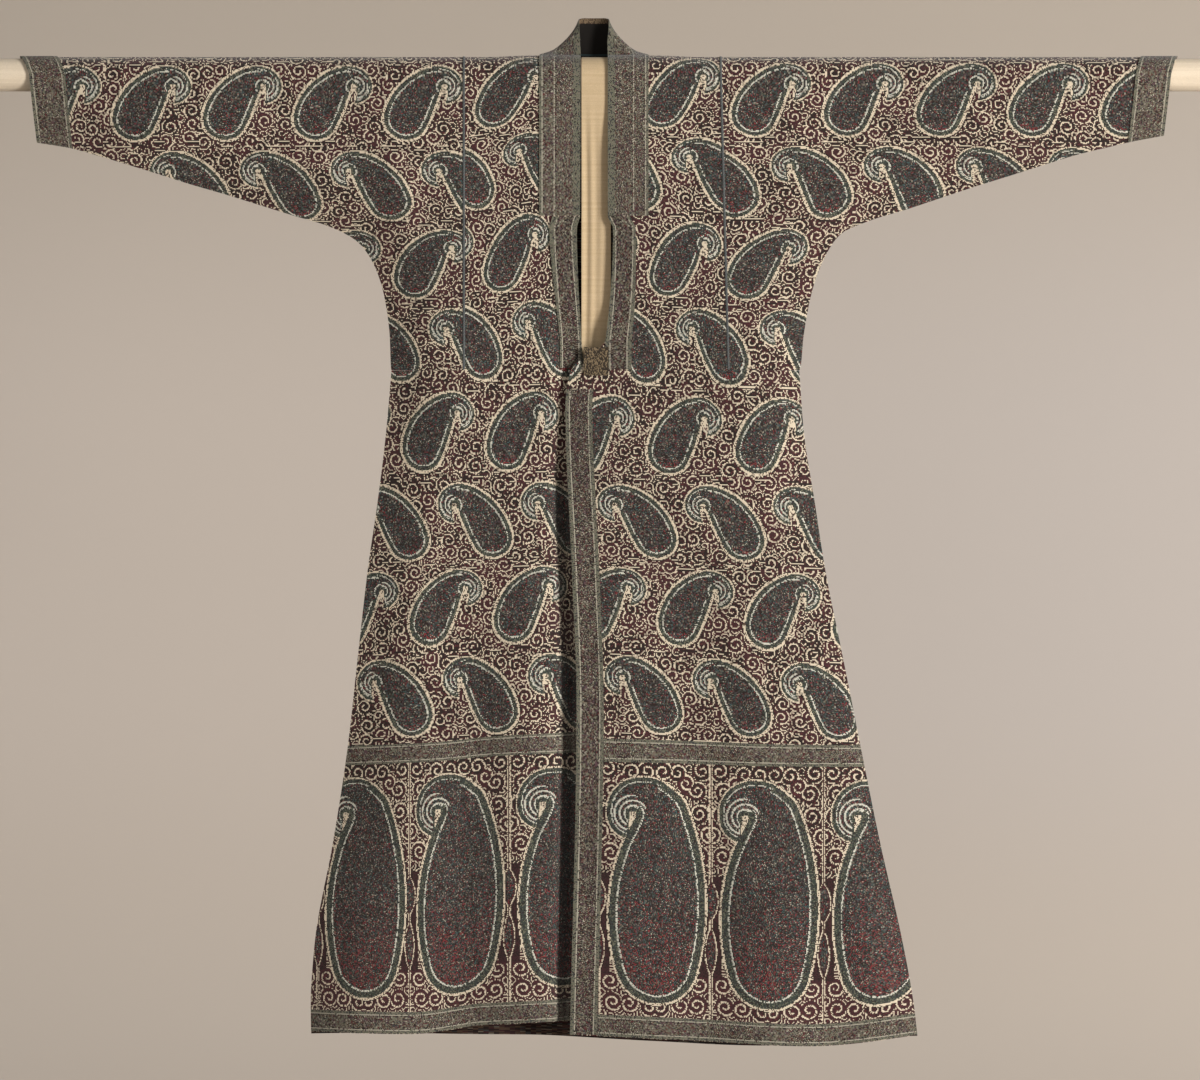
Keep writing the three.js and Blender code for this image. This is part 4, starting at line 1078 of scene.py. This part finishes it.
edgeBand = {"top": -409, "low": -1246, "width": 35}
for name, top, low, piece, node, width, cutAt in (
        ("right_skirt_band_cloth", "bandTop", "bandLow", "right", "right_skirt_band", 27, None),
        ("right_hem_band_cloth", "hemTop", "hem", "right", "right_hem_band", 29, None),
        ("left_skirt_band_cloth", "bandTop", "bandLow", "left", "left_skirt_band", 29, -880.0),
        ("left_hem_band_cloth", "hemTop", "hem", "left", "left_hem_band", 29, -1235.0),
        ("back_skirt_band_cloth", "bandTop", "bandLow", "back", "back_skirt_band", 28, None),
        ("back_hem_band_cloth", "hemTop", "hem", "back", "back_hem_band", 29, None)):
    cutX = None if cutAt is None else float(farEdge("left", cutAt) + edgeBand["width"] + 2 * robe["seam"])
    levelBand(name, piece, top, low, node, width, cutX)


# A band down a front beside its free edge, width(s) wide, between two heights.
def downBand(name, side, topS, lowS, width, mat, node, free):
    sign = -1 if side == "right" else 1
    rows = max(bandGrid["least"], int(abs(topS - lowS) / bandGrid["step"]))
    share = np.linspace(0, 1, bandGrid["cols"])[None]
    s = np.linspace(topS, lowS, rows)[:, None] + 0 * share
    x = free(s) + sign * width(s) * (1 - share)
    uv = np.stack([s, (share - 0.5) * width(s)], -1)
    points, normals = clothPoints(side, x, s)
    made = liftedWall(name, points, normals, bandLift, robe["bandWall"], uv, [mat])
    flat = (float(np.mean(width(s))) * mm, abs(topS - lowS) * mm)
    return dress(made, [node])


openingBands = {"top": -184.5, "right": (-381, 36, 29), "left": (-383, 29, 34)}  # low end, widths
for side in ("right", "left"):
    lowS, top, foot = openingBands[side]
    downBand(side + "_opening_band_cloth", side, openingBands["top"], lowS,
             lambda s, top=top, foot=foot: top + (foot - top) * smooth(-184, robe["slitFoot"], s),
             bandMats["openingBand"], side + "_opening_band",
             lambda s, side=side: farEdge(side, np.maximum(s, robe["slitFoot"])))
downBand("front_edge_band_cloth", "left", edgeBand["top"], edgeBand["low"],
         lambda s: edgeBand["width"] + 0 * s, bandMats["edgeBand"], "front_edge_band",
         lambda s: farEdge("left", s))


# Cuffs.
cuff = {"width": 44, "cols": 7}


# The sleeve's last columns again, lifted; the length is run along the middle one.
def makeCuff(side):
    points, normals, _ = sleeves[side]
    p, n = points[:, -1 - cuff["cols"]:], normals[:, -1 - cuff["cols"]:]
    steps = np.linalg.norm(np.diff(p[:, cuff["cols"] // 2 + 1], axis=0), axis=1)
    along = np.concatenate([[0], np.cumsum(steps)])[:, None]
    uv = pair(along, np.linspace(-0.5, 0.5, p.shape[1])[None] * cuff["width"])
    made = liftedWall(side + "_cuff_cloth", p, n, bandLift, robe["bandWall"], uv, [bandMats["cuffBand"]])
    return dress(made, [side + "_cuff"])


makeCuff("right")
makeCuff("left")
print("bands and cuffs made")


# Neck band.
neck = {  # flat width, lower end, and counts of columns and rows of the neck band
    "width": 53, "low": -183.5, "cols": 9, "sideRows": 30, "rodRows": 9, "standRows": 26, "foot": -0.2,
    "blended": 4,
}


# Flat on each front from the lower end to the crest, then standing round the back of the neck:
# each section is a straight line from the sewn edge to the free edge.
def makeNeckBand():
    share = np.linspace(0, 1, neck["cols"])[None]

    def flatSide(side, sign):
        onRod = np.linspace(0, quarterRod - 1, neck["rodRows"])[1:]
        s = np.concatenate([np.linspace(neck["low"], 0, neck["sideRows"]), onRod])[:, None]
        sewn = robe["middle"] + sign * robe["neckHalf"] + 0 * s
        x = sewn + (farEdge(side, s) - sewn) * share
        p, n = clothPoints(side, x, s + 0 * x)
        return p + n * bandLift, n

    def standSide(sign):
        i = np.linspace(neck["foot"], 4, neck["standRows"])
        get = {k: through(np.arange(5), v, np.maximum(i, 0)) for k, v in collarLines.items()}
        sewn, free = (np.stack([robe["middle"] + sign * get[edge + "Half"], get[edge + "Y"],
                                get[edge + "Z"] + rise], -1)
                      for edge, rise in (("seam", robe["wall"]), ("free", 0)))
        return (sewn[:, None] + (free - sewn)[:, None] * share[..., None])[1:]
    rightP, rightN = flatSide("right", -1)
    leftP, leftN = flatSide("left", 1)
    inner = np.vstack([rightP, standSide(-1), standSide(1)[:-1][::-1], leftP[::-1]])
    normal = np.cross(np.gradient(inner, axis=1), np.gradient(inner, axis=0))
    normal /= np.linalg.norm(normal, axis=-1, keepdims=True)
    k = len(rightP) - neck["blended"]
    normal[:k] = rightN[:k]
    normal[-k:] = leftN[::-1][-k:]
    line = inner.mean(1)
    length = np.cumsum(np.linalg.norm(np.diff(line, axis=0, prepend=line[:1]), axis=1))
    uv = pair(length[:, None], (share - 0.5) * neck["width"])
    # The inner face takes the near black collar material: painted shade.
    made = wallMesh("neck_band_cloth", inner + normal * robe["bandWall"], inner, uv,
                    [bandMats["neckBand"], collarShadeMaterial()])
    return dress(made, ["neck_band"])


makeNeckBand()


# Stay, armhole bindings, rod and drop.
stay = {"x": (-21, 11), "s": (-354, -391), "mapMiddle": -374, "rows": 13, "wall": 1.0}


def makeStay():
    x, s = np.meshgrid(*(np.linspace(*stay[k], stay["rows"]) for k in ("x", "s")))
    points, normals = clothPoints("left", x, s)
    made = liftedWall("opening_stay_cloth", points, normals, bandLift + robe["bandWall"] + robe["lift"],
                      stay["wall"], pair(x, s - stay["mapMiddle"]), [stayMaterial()])
    return dress(made, ["opening_stay"])


makeStay()
binding = {"half": 1.5, "rise": 1.0, "round": 0.92, "out": 0.15, "in": 0.1, "low": -383,
           "rows": 150, "cols": 7}


# A narrow bound edge along each armhole seam, front and back: a half-round ridge down the panel,
# whose rise is the root of one less the square of the way across.
def makeBinding(name, piece, side):
    s = np.linspace(quarterRod - 1, binding["low"], binding["rows"])[:, None]
    share = np.linspace(-1, 1, binding["cols"])[None]
    x = armhole(side, np.minimum(s, 0)) + binding["half"] * share
    points, normals = clothPoints(piece, x, s + 0 * x)
    rise = binding["rise"] * np.sqrt(1 - (share * binding["round"]) ** 2)
    outer = points + normals * (robe["wall"] + binding["out"] + rise[..., None])
    inner = points + normals * (robe["wall"] + binding["in"])
    made = wallMesh(name, outer, inner, pair(share * binding["half"], s), [silk])
    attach(made, "root")
    return made


silk = bindingMaterial()
for side in ("right", "left"):
    for piece in (side, "back"):
        face = "front" if piece == side else "back"
        makeBinding(side + "_armhole_" + face + "_binding", piece, side)


rod = {
    "sides": 48, "rows": 141, "plainHalf": 805, "coverHalf": 812, "coverRadius": 21.5, "coverInside": 20.0,
    "edgeIn": 0.3, "edgeLong": 0.4, "ripple": 0.12, "rippleStep": 37.0,
    "coreHalf": 820, "coreRadius": 19.7, "bevel": 0.8,
}


# The rod's parts are turned round X: a closed profile of (x, radius) carried round the axis.
def turned(name, profile, sides, mats):
    profile = np.array(profile, float)
    angle = np.linspace(0, 2 * math.pi, sides + 1)[None]
    x = profile[:, :1] + 0 * angle
    r = profile[:, 1:]
    points = np.stack([x, r * np.sin(angle), r * np.cos(angle)], -1)
    run = np.concatenate([[0], np.cumsum(np.hypot(*np.diff(profile, axis=0).T))])[:, None]
    uv = pair(run, angle * rod["coverRadius"])
    rows, cols = points.shape[:2]
    ids = np.arange(rows * cols).reshape(rows, cols)
    ids[:, -1] = ids[:, 0]
    ids[-1] = ids[0]
    flat = points.reshape(-1, 3) * mm
    return quadMesh(name, flat, facedOut(flat, gridFaces(ids)), uv.reshape(-1, 2) * mm, mats)


def makeRod():
    half, radius, inside = rod["coverHalf"], rod["coverRadius"], rod["coverInside"]
    edge = [(half, inside), (half, radius - rod["edgeIn"]), (half - rod["edgeLong"], radius)]
    ripple = [(x, radius - rod["ripple"] * abs(math.sin(x / rod["rippleStep"])))
              for x in np.linspace(-rod["plainHalf"], rod["plainHalf"], rod["rows"])]
    cover = [(-x, r) for x, r in edge] + ripple + edge[::-1] + [(-half, inside)]
    made = turned("rod_cover_cloth", cover, rod["sides"], [muslin])
    dress(made, ["rod_cover"])
    half, radius, bevel = rod["coreHalf"], rod["coreRadius"], rod["bevel"]
    end = [(half, 0.01), (half, radius - bevel), (half - bevel, radius)]
    core = turned("rod_core", [(-x, r) for x, r in end] + end[::-1] + [(-half, 0.01)], rod["sides"],
                  [woodMaterial()])
    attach(core, "root")
    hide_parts("rod")


drop = {
    "middle": -5, "half": 19, "cols": 41, "tailFrom": 0.75, "tailRows": 4, "rodRows": 12, "hangRows": 75,
    "low": -383, "folds": 3, "phase": 0.1, "sway": 0.05, "swayLength": 130, "recess": 5, "gap": 0.6,
    "foldZ": (-16, -130), "recessZ": (-30, -110),
}


# The drop: on the rod and then behind the slit, with soft folds of cosine section inwards.
def makeDrop():
    share = np.linspace(0, 1, drop["cols"])[None]
    x = drop["middle"] + drop["half"] * (2 * share - 1)
    tail = np.linspace(quarterRod * drop["tailFrom"], quarterRod, drop["tailRows"] + 1)[:-1, None]
    front = np.concatenate([np.linspace(quarterRod, 0, drop["rodRows"]),
                            np.linspace(0, drop["low"], drop["hangRows"] + 1)[1:]])[:, None]
    tailP, tailN = clothPoints("back", x + 0 * tail, tail + 0 * x)
    frontP, frontN = clothPoints("right", x + 0 * front, front + 0 * x)
    points, normals = np.vstack([tailP, frontP]), np.vstack([tailN, frontN])
    z = np.vstack([0 * tail, np.minimum(front, 0)])
    lean = share + drop["sway"] * np.sin(z / drop["swayLength"])
    fold = (1 - np.cos(2 * math.pi * (drop["folds"] * lean + drop["phase"]))) * smooth(*drop["foldZ"], z)
    fold = fold * (0.6 + 0.4 * np.sin(5 * lean + 1))
    recess = drop["recess"] * smooth(*drop["recessZ"], z)
    outer = points - normals * (drop["gap"] + recess + fold)[..., None]
    run = np.vstack([2 * quarterRod - tail, front])
    made = wallMesh("rod_drop_cloth", outer, outer - normals, pair(x, run), [shadedDropMuslin])
    dress(made, ["rod_drop"])


makeRod()
makeDrop()
print("rod, cover and drop made")


# Stage, light and camera.
studio = {"distance": 12.0, "middleZ": -0.6045, "view": 1.56, "sensor": 36, "floor": -1.62, "wall": 2.0,
          "bend": 0.5, "half": 7, "air": (1.0, 0.97, 0.94, 1), "airPower": 0.22}
lights = {  # place, size, power and tint
    "keyLight": ((6.0, -5.2, 0.1), (2.0, 3.2), 740, (1.0, 0.975, 0.95)),
    "fillLight": ((-1.6, -8.0, -0.2), (3.6, 3.6), 85, (1.0, 0.97, 0.94)),
}


# Floor and wall in one sweep: a profile of floor, quarter round and wall carried along X. It is seen
# from its front only. Its colour holds painted shade: darker to the right, towards the top and low down.
def makeStage():
    bend = np.linspace(0, math.pi / 2, 13)
    wall, floor, radius = studio["wall"], studio["floor"], studio["bend"]
    y = np.concatenate([[-7.0, -1.5], wall - radius + radius * np.sin(bend), [wall, wall]])
    z = np.concatenate([[floor, floor], floor + radius - radius * np.cos(bend), [1.5, 4.5]])
    x = np.linspace(-studio["half"], studio["half"], 9)
    grid = np.stack(np.broadcast_arrays(x[None], y[:, None], z[:, None]), -1)
    ids = np.arange(grid.shape[0] * grid.shape[1]).reshape(grid.shape[:2])
    mat, tree, shader = startMaterial("paleBackdrop", 0.0, 0.95, 0.1)
    side, _, height = splitVector(objectPlace(tree))
    # Painted shade: slightly darker to the right against the key light's spill, darker towards the top, and
    # darker low down by the floor.
    shade = mix(side.ease(-0.7, 0.8), tone(200, 190, 180), tone(194, 186, 179))
    shade = mix(height.ease(-0.45, 0.25), shade, tone(182, 172, 160))
    shade = mix(height.ease(-0.8, -1.3), shade, tone(193, 183, 172))
    feed(tree, shade, shader.inputs["Base Color"])
    behind = Wire(tree, newNode(tree, "NewGeometry").outputs["Backfacing"])
    clear = Wire(tree, newNode(tree, "BsdfTransparent").outputs[0])
    either = newNode(tree, "MixShader", {0: behind, 1: Wire(tree, shader.outputs[0]), 2: clear})
    feed(tree, Wire(tree, either.outputs[0]), tree.nodes["Material Output"].inputs["Surface"])
    piece = quadMesh("backdrop", grid.reshape(-1, 3), gridFaces(ids), grid.reshape(-1, 3)[:, :2], [mat])


def makeLight(name, at, size, power, tint):
    data = bpy.data.lights.new(name, "AREA")
    data.shape = "RECTANGLE"
    data.size, data.size_y = size
    data.energy = power
    data.color = tint
    lamp = bpy.data.objects.new(name, data)
    bpy.context.scene.collection.objects.link(lamp)
    lamp.location = at
    x, y, z = -at[0], -at[1], studio["middleZ"] - at[2]
    lamp.rotation_euler = (math.atan2(math.hypot(x, y), -z), 0, math.atan2(y, x) - math.pi / 2)


def makeCamera():
    data = bpy.data.cameras.new("view")
    data.sensor_width = studio["sensor"]
    data.lens = studio["sensor"] * studio["distance"] / studio["view"]
    data.clip_end = 50
    camera = bpy.data.objects.new("view", data)
    camera.location = (0, -studio["distance"], studio["middleZ"])
    camera.rotation_euler = (math.pi / 2, 0, 0)
    bpy.context.scene.collection.objects.link(camera)
    bpy.context.scene.camera = camera


makeStage()
for name, values in lights.items():
    makeLight(name, *values)
world = bpy.data.worlds.new("studioAir")
bpy.context.scene.world = world
world.use_nodes = True
world.node_tree.nodes["Background"].inputs[0].default_value = studio["air"]
world.node_tree.nodes["Background"].inputs[1].default_value = studio["airPower"]
makeCamera()
bpy.context.scene.view_settings.view_transform = "Standard"
print("stage, light and camera made")
